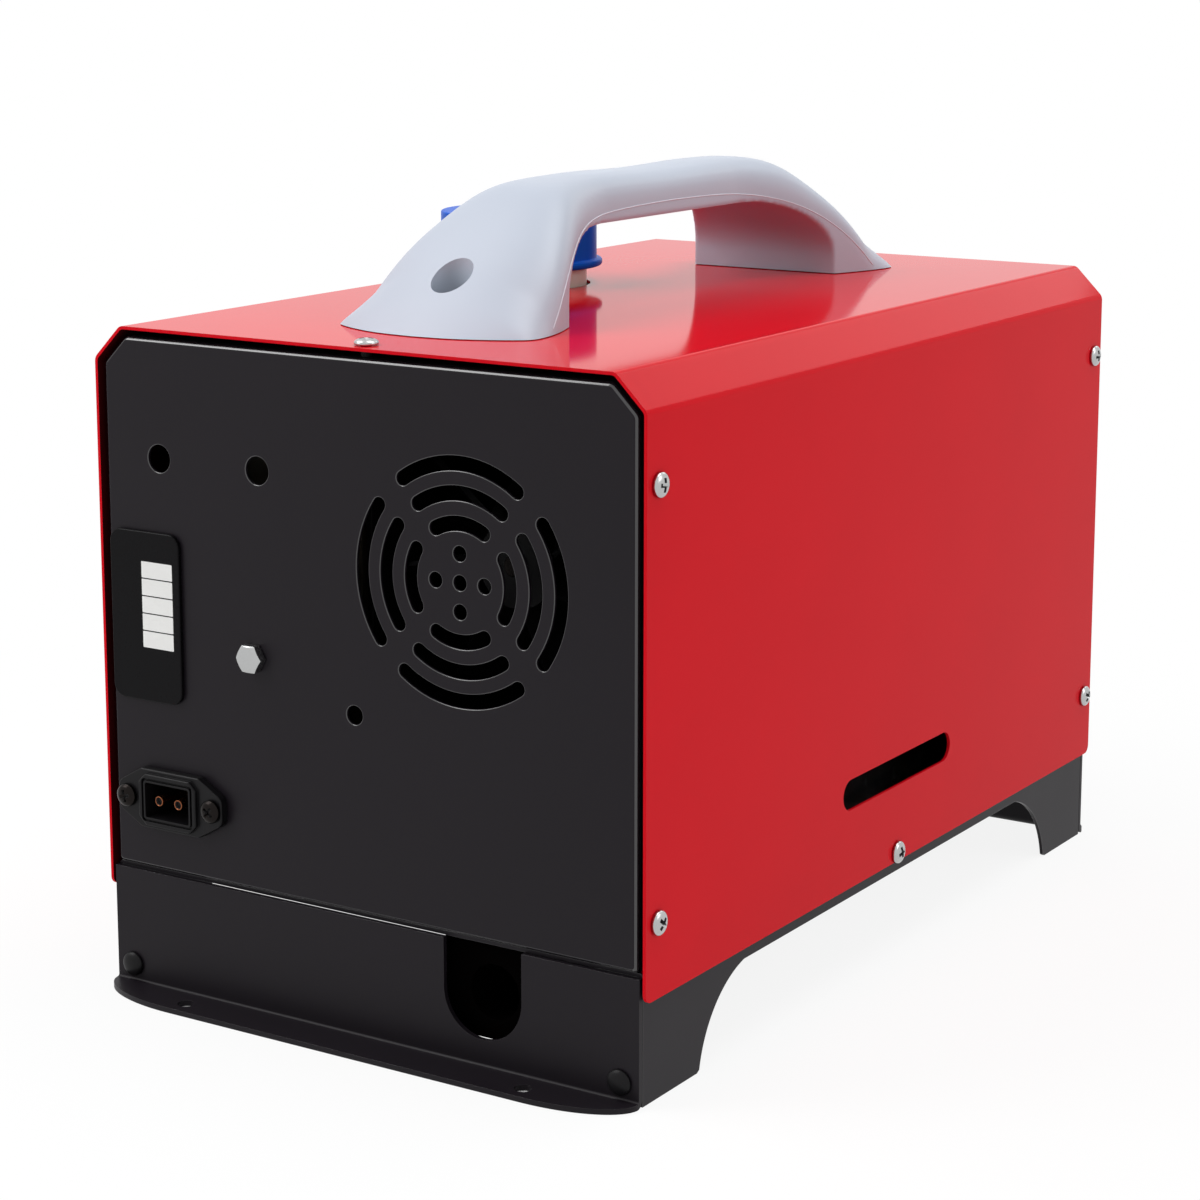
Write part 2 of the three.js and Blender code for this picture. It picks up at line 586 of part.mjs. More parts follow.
function rearPanel() {
  const degrees = Math.PI / 180;
  const slots = GRILLE_RINGS.flatMap(({ radius, halfAngle }) =>
    [0, 90, 180, 270].map((middle) =>
      arcSlot(BURNER_X, BURNER_Z, radius, GRILLE_SLOT_WIDTH, middle * degrees, halfAngle * degrees),
    ),
  );
  const dots = [[0, 0], [1, 0], [0, 1], [-1, 0], [0, -1]].map(([x, z]) =>
    circle(BURNER_X + x * GRILLE_HOLE_RING, BURNER_Z + z * GRILLE_HOLE_RING, GRILLE_HOLE_RADIUS, 8),
  );
  const cableHoles = CABLE_HOLE_INSETS.map((inset) =>
    circle(inset - HALF_WIDTH, CABLE_HOLE_Z, CABLE_HOLE_RADIUS, 16),
  );
  return casePanel(ENDS.rear, [
    ...slots,
    ...dots,
    ...cableHoles,
    circle(DRAIN_HOLE_INSET - HALF_WIDTH, DRAIN_HOLE_Z, DRAIN_HOLE_RADIUS, 12),
    circle(TANK_BOLT_INSET - HALF_WIDTH, TANK_BOLT_Z, TANK_BOLT_RADIUS + GAP, 12),
    inletBodyOutline(GAP),
    ...inletScrewPlaces().map((x) => circle(x, INLET_Z, SCREW_RADIUS + GAP, 10)),
  ]);
}

function frontPanel() {
  const [width, height] = controlSkirt(GAP);
  return casePanel(ENDS.front, [
    circle(BURNER_X, BURNER_Z, COLLAR_RADIUS + GAP, 32),
    rectangle(CONTROL_X, CONTROL_Z, width, height, CONTROL_CORNER - CONTROL_SKIRT_INSET + GAP),
  ]);
}

function legArch() {
  const reach = Math.acos((LEG_ARCH_TOP + LEG_ARCH_DROP) / LEG_ARCH_RADIUS);
  const floor = Math.asin(LEG_ARCH_DROP / LEG_ARCH_RADIUS);
  const foot = HALF_LENGTH - LEG_LENGTH;
  const centre = foot - LEG_ARCH_RADIUS * Math.cos(floor);
  const far = arc(centre, -LEG_ARCH_DROP, LEG_ARCH_RADIUS, floor, Math.PI / 2 - reach, 9);
  const near = far.map(({ x, y }) => new THREE.Vector2(-x, y)).reverse();
  return [new THREE.Vector2(foot, -PAST), ...far, ...near, new THREE.Vector2(-foot, -PAST)];
}

// A deck with two side plates that end in the four feet, and a tab behind each corner of the aprons.
function baseFrame() {
  const inner = BASE_HALF_WIDTH - BASE_SHEET;
  const reach = HALF_LENGTH - APRON_SHEET - GAP;
  const profile = rounded([
    [-BASE_HALF_WIDTH, 0],
    [-inner, 0],
    [-inner, DECK_TOP - BASE_SHEET],
    [inner, DECK_TOP - BASE_SHEET],
    [inner, 0],
    [BASE_HALF_WIDTH, 0],
    [BASE_HALF_WIDTH, DECK_TOP, BASE_SHEET],
    [-BASE_HALF_WIDTH, DECK_TOP, BASE_SHEET],
  ]);
  const body = [extrude(profile, 'Y', -reach, reach)];
  const holes = [extrude(legArch(), 'X', -HALF_WIDTH, HALF_WIDTH)];
  for (const end of Object.values(ENDS)) {
    for (const side of Object.values(SIDES)) {
      const x = [side * inner, side * (inner - TAB_WIDTH)].sort((a, b) => a - b);
      const y = [end * reach, end * (reach - BASE_SHEET)].sort((a, b) => a - b);
      body.push(block([x[0] - BASE_SHEET / 2, x[1] + BASE_SHEET / 2], y, [APRON_BEND, TAB_TOP]));
      holes.push(plugHole(side, end));
    }
  }
  const pipeHole = (x, y, radius) =>
    drill('Z', [x, y], radius + PIPE_HOLE_CLEARANCE, DECK_TOP - BASE_SHEET - PAST, DECK_TOP + PAST, 20);
  return cut(
    join(...body),
    ...holes,
    pipeHole(EXHAUST_X, EXHAUST_Y, EXHAUST_RADIUS),
    pipeHole(BURNER_X + INTAKE_OFFSET, INTAKE_Y, INTAKE_RADIUS),
    screwHoles(),
  );
}

const plugX = (side) => side * (BASE_HALF_WIDTH - PLUG_EDGE_INSET);

function plugHole(side, end) {
  const y = [end * (HALF_LENGTH + PAST), end * (HALF_LENGTH - PLUG_LENGTH - PAST)].sort((a, b) => a - b);
  return drill('Y', [plugX(side), PLUG_Z], PLUG_RADIUS + GAP, ...y, 10);
}

// The upright end plate of the base, bent out at the floor into a flange with swept ends.
function apron(end) {
  const out = HALF_LENGTH;
  const profile = rounded([
    [end * (out - APRON_SHEET), APRON_TOP],
    [end * (out - APRON_SHEET), 0, APRON_BEND],
    [end * (out + APRON_FLANGE), 0],
    [end * (out + APRON_FLANGE), APRON_SHEET],
    [end * out, APRON_SHEET, APRON_BEND - APRON_SHEET],
    [end * out, APRON_TOP],
  ]);
  const bar = extrude(end > 0 ? profile : profile.reverse(), 'X', -BASE_HALF_WIDTH, BASE_HALF_WIDTH);
  const corner = BASE_HALF_WIDTH - APRON_FLANGE_SWEEP;
  const sweep = arc(0, 0, 1, 0, Math.PI / 2, 10).map(
    ({ x, y }) => new THREE.Vector2(corner + APRON_FLANGE_SWEEP * x, out + APRON_FLANGE * y),
  );
  const mirrored = sweep.map(({ x, y }) => new THREE.Vector2(-x, y)).reverse();
  const plan = [
    new THREE.Vector2(-BASE_HALF_WIDTH, 0),
    new THREE.Vector2(BASE_HALF_WIDTH, 0),
    ...sweep,
    ...mirrored,
  ].map(({ x, y }) => new THREE.Vector2(x, end * y));
  const footprint = extrude(end > 0 ? plan : plan.reverse(), 'Z', -PAST, APRON_TOP + PAST);
  const flangeHoles = [-FLANGE_HOLE_X, FLANGE_HOLE_X].map((x) =>
    drill('Z', [x, end * (out + FLANGE_HOLE_REACH)], FLANGE_HOLE_RADIUS, -PAST, APRON_SHEET + PAST, 14),
  );
  const plugs = Object.values(SIDES).map((side) => plugHole(side, end));
  return cut(bar.intersect(footprint), ...flangeHoles, ...plugs);
}

function rearApron() {
  const radius = EXHAUST_SLOT_WIDTH / 2;
  const outline = [
    ...arc(EXHAUST_X, EXHAUST_SLOT_BOTTOM + radius, radius, Math.PI, 2 * Math.PI, 14),
    new THREE.Vector2(EXHAUST_X + radius, APRON_TOP + PAST),
    new THREE.Vector2(EXHAUST_X - radius, APRON_TOP + PAST),
  ];
  const inside = -HALF_LENGTH + APRON_SHEET;
  return cut(apron(ENDS.rear), extrude(outline, 'Y', -HALF_LENGTH - PAST, inside + PAST));
}

// ---------- fasteners ----------
// A pan-head screw whose head seats on the surface at `at` and stands out along `outward`.
function panScrew(at, outward, head, height, radius, length) {
  const profile = [
    [0, -length],
    [radius, -length],
    [radius, GAP],
    [head, GAP],
    [head, GAP + height * HEAD_EDGE],
    [head * HEAD_CROWN, GAP + height],
    [0, GAP + height],
  ];
  return lathe(profile, at, outward, 10);
}

const caseScrew = (at, outward) =>
  panScrew(at, outward, SCREW_HEAD_RADIUS, SCREW_HEAD_HEIGHT, SCREW_RADIUS, SCREW_LENGTH);

function apronPlug(side, end) {
  const at = [plugX(side), end * HALF_LENGTH, PLUG_Z];
  return panScrew(at, vector(0, end, 0), PLUG_HEAD_RADIUS, PLUG_HEAD_HEIGHT, PLUG_RADIUS, PLUG_LENGTH);
}

function tankBolt() {
  const x = TANK_BOLT_INSET - HALF_WIDTH;
  const face = -PANEL_FACE - GAP;
  const corner = TANK_BOLT_FLATS / Math.sqrt(3);
  const hexagon = circle(x, TANK_BOLT_Z, corner, 6);
  return join(
    extrude(hexagon, 'Y', face - TANK_BOLT_HEAD_HEIGHT, face),
    drill('Y', [x, TANK_BOLT_Z], TANK_BOLT_RADIUS, face - PAST, face + TANK_BOLT_LENGTH, 12),
  );
}

// ---------- rear fittings ----------
function ratingPlate() {
  const x = -HALF_WIDTH + PLATE_INSET + PLATE_WIDTH / 2;
  const z = PLATE_BOTTOM + PLATE_HEIGHT / 2;
  const face = -PANEL_FACE - GAP;
  const outline = rectangle(x, z, PLATE_WIDTH, PLATE_HEIGHT, PLATE_CORNER);
  return extrude(outline, 'Y', face - PLATE_THICKNESS, face);
}

const inletX = INLET_INSET - HALF_WIDTH;
const inletScrewPlaces = () => [inletX - INLET_SCREW_SPACING / 2, inletX + INLET_SCREW_SPACING / 2];
const inletFace = -PANEL_FACE - GAP - INLET_FLANGE_THICKNESS;
const inletFront = inletFace - INLET_SHROUD_PROUD;

const inletBodyOutline = (grow) =>
  rectangle(inletX, INLET_Z, INLET_SHROUD_WIDTH + 2 * grow, INLET_SHROUD_HEIGHT + 2 * grow);

function inletFlangeOutline() {
  const [w, h] = [INLET_FLANGE_WIDTH / 2, INLET_FLANGE_HEIGHT / 2];
  const [shoulder, tip] = [INLET_SHROUD_WIDTH / 2, INLET_TIP_HALF_HEIGHT];
  const corners = [
    [-w, -tip, INLET_TIP_RADIUS],
    [-shoulder, -h, INLET_SHOULDER_RADIUS],
    [shoulder, -h, INLET_SHOULDER_RADIUS],
    [w, -tip, INLET_TIP_RADIUS],
  ];
  const upper = corners.map(([x, z, r]) => [x, -z, r]).reverse();
  return rounded([...corners, ...upper].map(([x, z, r]) => [inletX + x, INLET_Z + z, r]));
}

function inletShroudOutline() {
  const [w, h, c] = [INLET_SHROUD_WIDTH / 2, INLET_SHROUD_HEIGHT / 2, INLET_SHROUD_CHAMFER];
  const corners = [[-w, -h + c], [-w + c, -h], [w - c, -h], [w, -h + c], [w, h - c], [w - c, h]];
  return [...corners, [-w + c, h], [-w, h - c]].map(([x, z]) => new THREE.Vector2(inletX + x, INLET_Z + z));
}

function inletBody() {
  const flange = extrude(inletFlangeOutline(), 'Y', inletFace, -PANEL_FACE - GAP);
  const shroud = extrude(inletShroudOutline(), 'Y', inletFront, inletFace + PAST);
  const body = extrude(inletBodyOutline(0), 'Y', inletFace + PAST, inletFace + INLET_BODY_DEPTH);
  const opening = rectangle(inletX, INLET_Z, INLET_OPENING_WIDTH, INLET_OPENING_HEIGHT, 1);
  const cavity = extrude(opening, 'Y', inletFront - PAST, inletFront + INLET_OPENING_DEPTH);
  const [front, back] = [inletFront - PAST, inletFace + INLET_BODY_DEPTH + PAST];
  const screwHole = (x) => drill('Y', [x, INLET_Z], SCREW_RADIUS + GAP, front, PAST - PANEL_FACE, 10);
  const pinHole = (x) => drill('Y', [x, INLET_Z], INLET_PIN_RADIUS + GAP, front, back, 12);
  const holes = [...inletScrewPlaces().map(screwHole), ...inletPinPlaces().map(pinHole)];
  return cut(join(flange, shroud, body), cavity, ...holes);
}

const inletPinPlaces = () => [inletX - INLET_PIN_SPACING / 2, inletX + INLET_PIN_SPACING / 2];

// A round contact: its tip is just inside the shroud, and a solder tag comes out at the back.
function inletPin(x) {
  const back = inletFront + INLET_OPENING_DEPTH;
  const tail = inletFace + INLET_BODY_DEPTH + INLET_PIN_TAIL;
  const profile = [
    [0, 0],
    [INLET_PIN_RADIUS - INLET_PIN_POINT / 2, 0],
    [INLET_PIN_RADIUS, INLET_PIN_POINT],
    [INLET_PIN_RADIUS, tail - back + INLET_PIN_LENGTH],
    [0, tail - back + INLET_PIN_LENGTH],
  ];
  return lathe(profile, [x, back - INLET_PIN_LENGTH, INLET_Z], vector(0, 1, 0), 12);
}

// ---------- carrying handle ----------
const softMin = (a, b, blend) => (a + b - Math.hypot(a - b, blend)) / 2;
const smoothStep = (t) => THREE.MathUtils.smoothstep(t, 0, 1);

// Half-width, parting-line height and crest height at a distance `s` from the tip of a foot.
function handleSection(s) {
  const middle = HANDLE_LENGTH / 2;
  const nose = HANDLE_HALF_WIDTH * Math.sqrt(s / HANDLE_NOSE);
  const narrowing = smoothStep((s - HANDLE_NOSE) / (GRIP_TAPER_END - HANDLE_NOSE));
  const waist = HANDLE_HALF_WIDTH + (GRIP_HALF_WIDTH - HANDLE_HALF_WIDTH) * narrowing;
  const dip = HANDLE_DIP * smoothStep((s - GRIP_TAPER_END) / (middle - GRIP_TAPER_END));
  const climb = Math.max(0, s - 2 * HANDLE_NOSE) / (2 * (FOOT_LENGTH - 2 * HANDLE_NOSE));
  const slope = HANDLE_LIP + HANDLE_SLOPE * s;
  return {
    halfWidth: softMin(nose, waist, HANDLE_NOSE_BLEND),
    parting: Math.max(HANDLE_LIP, GRIP_PARTING * Math.tanh(climb * HANDLE_PARTING_CLIMB)),
    crest: softMin(slope, HANDLE_RISE, HANDLE_CREST_BLEND) - dip,
  };
}

function handleRing(s, y, steps) {
  const { halfWidth, parting, crest } = handleSection(s);
  const power = 2 / HANDLE_ROUNDNESS;
  const ring = [[halfWidth, 0]];
  for (let k = 0; k <= steps; k++) {
    const angle = (Math.PI * k) / steps;
    const across = Math.cos(angle);
    const up = Math.max(0, Math.sin(angle));
    const x = halfWidth * Math.sign(across) * Math.abs(across) ** power;
    ring.push([x, parting + Math.max(HANDLE_MIN_CROWN, crest - parting) * up ** power]);
  }
  ring.push([-halfWidth, 0]);
  return ring.map(([x, z]) => [x, y, HANDLE_BASE + z]);
}

// Joins closed rings of points, one after the other along +Y, into a solid with flat ends.
function loft(rings) {
  const count = rings[0].length;
  const points = rings.flat(2);
  const faces = [];
  for (let j = 0; j < rings.length - 1; j++) {
    for (let i = 0; i < count; i++) {
      const [a, b] = [j * count + i, j * count + ((i + 1) % count)];
      faces.push(a, a + count, b, b, a + count, b + count);
    }
  }
  const last = (rings.length - 1) * count;
  for (let i = 1; i < count - 1; i++) {
    faces.push(0, i, i + 1, last, last + i + 1, last + i);
  }
  const geometry = new THREE.BufferGeometry();
  geometry.setAttribute('position', new THREE.Float32BufferAttribute(points, 3));
  geometry.setIndex(faces);
  return solid(geometry);
}

function carryHandle() {
  const middle = HANDLE_LENGTH / 2;
  const [stations, steps] = [13, 14];
  const first = HANDLE_FIRST_RING;
  const reaches = Array.from(
    { length: stations },
    (_, i) => first + (middle - first) * (i / (stations - 1)) ** HANDLE_RING_SPACING,
  );
  const rear = reaches.map((s) => handleRing(s, s - middle, steps));
  const front = reaches.slice(0, -1).map((s) => handleRing(s, middle - s, steps)).reverse();
  const wall = middle - FOOT_LENGTH;
  const spring = HANDLE_BASE + FOOT_WALL_HEIGHT;
  const archRise = GRIP_CLEARANCE - FOOT_WALL_HEIGHT;
  const quarter = arc(0, 0, 1, 0, Math.PI / 2, 9).map(
    ({ x, y }) => new THREE.Vector2(wall - ARCH_REACH + ARCH_REACH * x, spring + archRise * y),
  );
  const opening = [
    new THREE.Vector2(-wall, HANDLE_BASE - PAST),
    new THREE.Vector2(wall, HANDLE_BASE - PAST),
    ...quarter,
    ...quarter.map(({ x, y }) => new THREE.Vector2(-x, y)).reverse(),
  ];
  const [floor, crown] = [HANDLE_BASE + COUNTERBORE_FLOOR, HANDLE_BASE + HANDLE_RISE];
  const bores = Object.values(ENDS).flatMap((end) => [
    drill('Z', [0, end * HANDLE_SCREW_Y], COUNTERBORE_RADIUS, floor, crown, 24),
    drill('Z', [0, end * HANDLE_SCREW_Y], HANDLE_SCREW_RADIUS + GAP, CASE_TOP - PAST, floor + PAST, 12),
  ]);
  return cut(
    loft([...rear, ...front]),
    extrude(opening, 'X', -HANDLE_HALF_WIDTH - PAST, HANDLE_HALF_WIDTH + PAST),
    ...bores,
  );
}

const handleScrew = (end) =>
  panScrew(
    [0, end * HANDLE_SCREW_Y, HANDLE_BASE + COUNTERBORE_FLOOR],
    vector(0, 0, 1),
    HANDLE_SCREW_HEAD_RADIUS,
    HANDLE_SCREW_HEAD_HEIGHT,
    HANDLE_SCREW_RADIUS,
    HANDLE_SCREW_LENGTH,
  );

// ---------- fuel tank and cap ----------
// The side view of the tank, which stands on a foot at each end and leaves a space below for the pump.
function tankSide(inset) {
  const [end, top] = [TANK_END - inset, TANK_TOP - inset];
  const foot = TANK_END - TANK_FOOT_LENGTH + inset;
  const floor = DECK_TOP + GAP + inset;
  const recess = TANK_RECESS_TOP + inset;
  const corner = TANK_CORNER - inset;
  return rounded([
    [-end, floor, corner / 2],
    [-foot, floor, corner / 4],
    [-foot, recess, corner / 2],
    [foot, recess, corner / 2],
    [foot, floor, corner / 4],
    [end, floor, corner / 2],
    [end, top, corner],
    [-end, top, corner],
  ]);
}

function fuelTank() {
  // Its shoulder follows the bend of the case.
  const body = (inset) =>
    extrude(tankSide(inset), 'X', TANK_LEFT, TANK_RIGHT - inset).intersect(
      extrude(rounded(caseArch(TANK_SIDE_INSET + inset, 0, SHELL_BEND)), 'Y', -TANK_END, TANK_END),
    );
  const neck = drill('Z', [NECK_X, NECK_Y], NECK_RADIUS, TANK_TOP - TANK_WALL / 2, NECK_TOP, 24);
  const below = TANK_TOP - 2 * TANK_WALL;
  const bore = drill('Z', [NECK_X, NECK_Y], NECK_RADIUS - NECK_WALL, below, NECK_TOP + PAST, 24);
  const boltX = TANK_BOLT_INSET - HALF_WIDTH;
  const bossFace = -PANEL_FACE + PANEL_SHEET + GAP;
  const boss = drill('Y', [boltX, TANK_BOLT_Z], TANK_BOSS_RADIUS, bossFace, -TANK_END + TANK_WALL / 2, 20);
  const tip = -PANEL_FACE + TANK_BOLT_LENGTH;
  const bolt = drill('Y', [boltX, TANK_BOLT_Z], TANK_BOLT_RADIUS + GAP, bossFace - PAST, tip, 12);
  return cut(join(cut(body(0), body(TANK_WALL)), neck, boss), bore, bolt);
}

// The turned outline of the cap: a cup with a rim at its mouth.
function fuelCap() {
  const inside = NECK_RADIUS + THREAD_CLEARANCE;
  const ceiling = CAP_TOP - CAP_CEILING;
  const profile = [
    [inside, CAP_BOTTOM],
    [CAP_RIM_RADIUS, CAP_BOTTOM],
    [CAP_RIM_RADIUS, CAP_BOTTOM + CAP_RIM_HEIGHT],
    [CAP_RADIUS, CAP_BOTTOM + CAP_RIM_HEIGHT],
    [CAP_RADIUS, CAP_TOP - CAP_CORNER],
    [CAP_RADIUS - CAP_CORNER, CAP_TOP],
    [0, CAP_TOP],
    [0, ceiling],
    [inside, ceiling],
    [inside, CAP_BOTTOM],
  ];
  return lathe(profile, [NECK_X, NECK_Y, 0], vector(0, 0, 1), 28);
}

function capGasket() {
  const [inner, outer] = [NECK_RADIUS - NECK_WALL - 1, NECK_RADIUS];
  const [bottom, top] = [GASKET_TOP - GASKET_THICKNESS, GASKET_TOP];
  const profile = [[inner, bottom], [outer, bottom], [outer, top], [inner, top], [inner, bottom]];
  return lathe(profile, [NECK_X, NECK_Y, 0], vector(0, 0, 1), 20);
}

// ---------- burner unit ----------
const ductOutline = (inset) =>
  rectangle(
    BURNER_X,
    BURNER_Z,
    2 * (DUCT_HALF_WIDTH - inset),
    2 * (DUCT_HALF_HEIGHT - inset),
    DUCT_CORNER - inset,
  );

function airDuct() {
  const tube = extrude(ductOutline(0), 'Y', DUCT_REAR, DUCT_FRONT, [ductOutline(DUCT_WALL)]);
  const nozzle = circle(BURNER_X, BURNER_Z, OUTLET_BORE, 32);
  const front = extrude(ductOutline(DUCT_WALL / 2), 'Y', DUCT_FRONT - DUCT_WALL, DUCT_FRONT, [nozzle]);
  return cut(join(tube, front), exchangerFoot(GAP));
}

const exchangerFoot = (grow) =>
  block(
    [BURNER_X - EXCHANGER_FOOT_HALF_WIDTH - grow, BURNER_X + EXCHANGER_FOOT_HALF_WIDTH + grow],
    [EXCHANGER_FOOT_REAR - grow, EXCHANGER_FOOT_FRONT + grow],
    [STAND_TOP + GAP - grow, BURNER_Z - EXCHANGER_TUBE + EXCHANGER_WALL],
  );

const pipePlaces = [
  { x: EXHAUST_X, y: EXHAUST_Y, radius: EXHAUST_RADIUS },
  { x: BURNER_X + INTAKE_OFFSET, y: INTAKE_Y, radius: INTAKE_RADIUS },
];

function heaterStand() {
  const [left, right] = [BURNER_X - STAND_HALF_WIDTH, BURNER_X + STAND_HALF_WIDTH];
  const [floor, t] = [DECK_TOP + GAP, STAND_SHEET];
  const profile = [
    [left - STAND_FOOT, floor],
    [left + t, floor],
    [left + t, STAND_TOP - t],
    [right - t, STAND_TOP - t],
    [right - t, floor],
    [right + STAND_FOOT, floor],
    [right + STAND_FOOT, floor + t],
    [right, floor + t],
    [right, STAND_TOP],
    [left, STAND_TOP],
    [left, floor + t],
    [left - STAND_FOOT, floor + t],
  ].map(([x, z]) => new THREE.Vector2(x, z));
  const holes = pipePlaces.map(({ x, y, radius }) =>
    drill('Z', [x, y], radius + PIPE_HOLE_CLEARANCE, STAND_TOP - STAND_SHEET - PAST, STAND_TOP + PAST, 20),
  );
  return cut(extrude(profile, 'Y', STAND_REAR, STAND_FRONT), ...holes);
}

function finnedOutline() {
  const outline = [];
  const pitch = (2 * Math.PI) / EXCHANGER_FINS;
  for (let fin = 0; fin < EXCHANGER_FINS; fin++) {
    const angle = (fin + 0.5) * pitch;
    const spread = (radius) => Math.asin(EXCHANGER_FIN_THICKNESS / 2 / radius);
    const at = (radius, turn) =>
      new THREE.Vector2(BURNER_X + radius * Math.cos(turn), BURNER_Z + radius * Math.sin(turn));
    const [root, tip] = [EXCHANGER_TUBE, EXCHANGER_FIN_RADIUS];
    outline.push(at(root, angle - spread(root)), at(tip, angle - spread(tip)));
    outline.push(at(tip, angle + spread(tip)), at(root, angle + spread(root)));
  }
  return outline;
}

const glowHole = () => drill('Z', [BURNER_X, GLOW_Y], GLOW_RADIUS + GAP, BURNER_Z, GLOW_TOP, 10);

function heatExchanger() {
  const bore = circle(BURNER_X, BURNER_Z, EXCHANGER_TUBE - EXCHANGER_WALL, 28);
  const tube = extrude(finnedOutline(), 'Y', EXCHANGER_REAR, EXCHANGER_FRONT);
  const hollow = extrude(bore, 'Y', EXCHANGER_REAR - PAST, EXCHANGER_FRONT - EXCHANGER_WALL);
  const ports = pipePlaces.map(({ x, y, radius }) =>
    drill('Z', [x, y], radius - PIPE_WALL, STAND_TOP, BURNER_Z - BURNER_RADIUS, 16),
  );
  return cut(join(tube, exchangerFoot(0)), hollow, ...ports, glowHole());
}

function burnerTube() {
  const reach = (EXCHANGER_TUBE - EXCHANGER_WALL) - GAP;
  const [outer, inner] = [BURNER_RADIUS, BURNER_RADIUS - BURNER_WALL];
  const length = BURNER_LENGTH;
  const profile = [
    [inner, 0],
    [reach, 0],
    [reach, 2 * BURNER_WALL],
    [outer, 2 * BURNER_WALL],
    [outer, length],
    [inner, length],
    [inner, 0],
  ];
  const tube = lathe(profile, [BURNER_X, EXCHANGER_REAR, BURNER_Z], vector(0, 1, 0), 28);
  return cut(tube, glowHole());
}

function glowPlug() {
  const bottom = BURNER_Z + GLOW_BOTTOM_RISE;
  const seat = BURNER_Z + EXCHANGER_FIN_RADIUS + GAP;
  return join(
    drill('Z', [BURNER_X, GLOW_Y], GLOW_RADIUS, bottom, GLOW_TOP, 12),
    extrude(circle(BURNER_X, GLOW_Y, 2 * GLOW_RADIUS, 6), 'Z', seat, GLOW_TOP - PAST),
  );
}

// The motor's carrier: a ring with an arm to each wall of the duct.
function blowerSpider() {
  const ring = MOTOR_RADIUS + GAP + SPIDER_RING;
  const bore = MOTOR_RADIUS + GAP;
  const [rear, front] = [SPIDER_REAR, SPIDER_REAR + SPIDER_THICKNESS];
  const [w, h] = [DUCT_HALF_WIDTH - DUCT_WALL - GAP, DUCT_HALF_HEIGHT - DUCT_WALL - GAP];
  const arm = SPIDER_ARM / 2;
  const body = join(
    extrude(circle(BURNER_X, BURNER_Z, ring, 28), 'Y', rear, front),
    block([BURNER_X - w, BURNER_X + w], [rear, front], [BURNER_Z - arm, BURNER_Z + arm]),
    block([BURNER_X - arm, BURNER_X + arm], [rear, front], [BURNER_Z - h, BURNER_Z + h]),
  );
  return cut(body, drill('Y', [BURNER_X, BURNER_Z], bore, rear - PAST, front + PAST, 28));
}

// Turned about the burner's axis, from `rear` towards +Y.
const aboutAxis = (profile, rear, segments) =>
  lathe(profile, [BURNER_X, rear, BURNER_Z], vector(0, 1, 0), segments);

function sleeve(inner, outer, rear, depth, segments) {
  return aboutAxis([[inner, 0], [outer, 0], [outer, depth], [inner, depth], [inner, 0]], rear, segments);
}

const fanMotor = () => sleeve(SHAFT_RADIUS + GAP, MOTOR_RADIUS, MOTOR_REAR, MOTOR_LENGTH, 28);

function motorShaft() {
  const length = SHAFT_FRONT - SHAFT_REAR;
  return aboutAxis([[0, 0], [SHAFT_RADIUS, 0], [SHAFT_RADIUS, length], [0, length]], SHAFT_REAR, 16);
}

// Copies of one blade, set evenly round the burner's axis and joined to their hub.
function bladed(hub, blade, count) {
  const centre = vector(BURNER_X, 0, BURNER_Z);
  const bodies = [hub];
  for (let i = 0; i < count; i++) {
    const geometry = blade();
    geometry.applyMatrix4(new THREE.Matrix4().makeRotationY((2 * Math.PI * i) / count));
    geometry.translate(...centre);
    bodies.push(solid(geometry));
  }
  return join(...bodies);
}

function coolingFan() {
  const hub = sleeve(SHAFT_RADIUS + GAP, FAN_HUB_RADIUS, FAN_REAR, FAN_DEPTH, 24);
  const reach = FAN_RADIUS - FAN_HUB_RADIUS + 2 * PAST;
  const chord = FAN_DEPTH / Math.cos(BLADE_PITCH) - BLADE_THICKNESS;
  const blade = () => {
    const geometry = new THREE.BoxGeometry(BLADE_THICKNESS, chord, reach, 1, 1, 1);
    geometry.rotateZ(BLADE_PITCH);
    return geometry.translate(0, FAN_REAR + FAN_DEPTH / 2, FAN_RADIUS - reach / 2);
  };
  return bladed(hub, blade, FAN_BLADES);
}

function combustionFan() {
  const disc = sleeve(SHAFT_RADIUS + GAP, BLOWER_RADIUS, BLOWER_REAR, BLADE_THICKNESS, 28);
  const boss = sleeve(SHAFT_RADIUS + GAP, FAN_HUB_RADIUS / 2, BLOWER_REAR, BLOWER_DEPTH, 20);
  const reach = BLOWER_RADIUS - FAN_HUB_RADIUS / 2 - PAST;
  const vane = () => {
    const depth = BLOWER_DEPTH - BLADE_THICKNESS / 2;
    const geometry = new THREE.BoxGeometry(BLADE_THICKNESS, depth, reach);
    geometry.rotateY(BLADE_PITCH);
    const middle = BLOWER_REAR + BLADE_THICKNESS / 2 + depth / 2;
    return geometry.translate(0, middle, (FAN_HUB_RADIUS - PAST + reach) / 2);
  };
  return bladed(join(disc, boss), vane, BLOWER_VANES);
}

function controlUnit() {
  const ceiling = BURNER_Z + DUCT_HALF_HEIGHT - DUCT_WALL - GAP;
  return block(
    [BURNER_X - BOARD_WIDTH / 2, BURNER_X + BOARD_WIDTH / 2],
    [BOARD_REAR, BOARD_REAR + BOARD_LENGTH],
    [ceiling - BOARD_HEIGHT, ceiling],
  );
}

function pipeStub({ x, y, radius }) {
  const length = STAND_TOP - PIPE_BOTTOM;
  const bore = radius - PIPE_WALL;
  const profile = [[bore, 0], [radius, 0], [radius, length], [bore, length], [bore, 0]];
  return lathe(profile, [x, y, PIPE_BOTTOM], vector(0, 0, 1), 20);
}

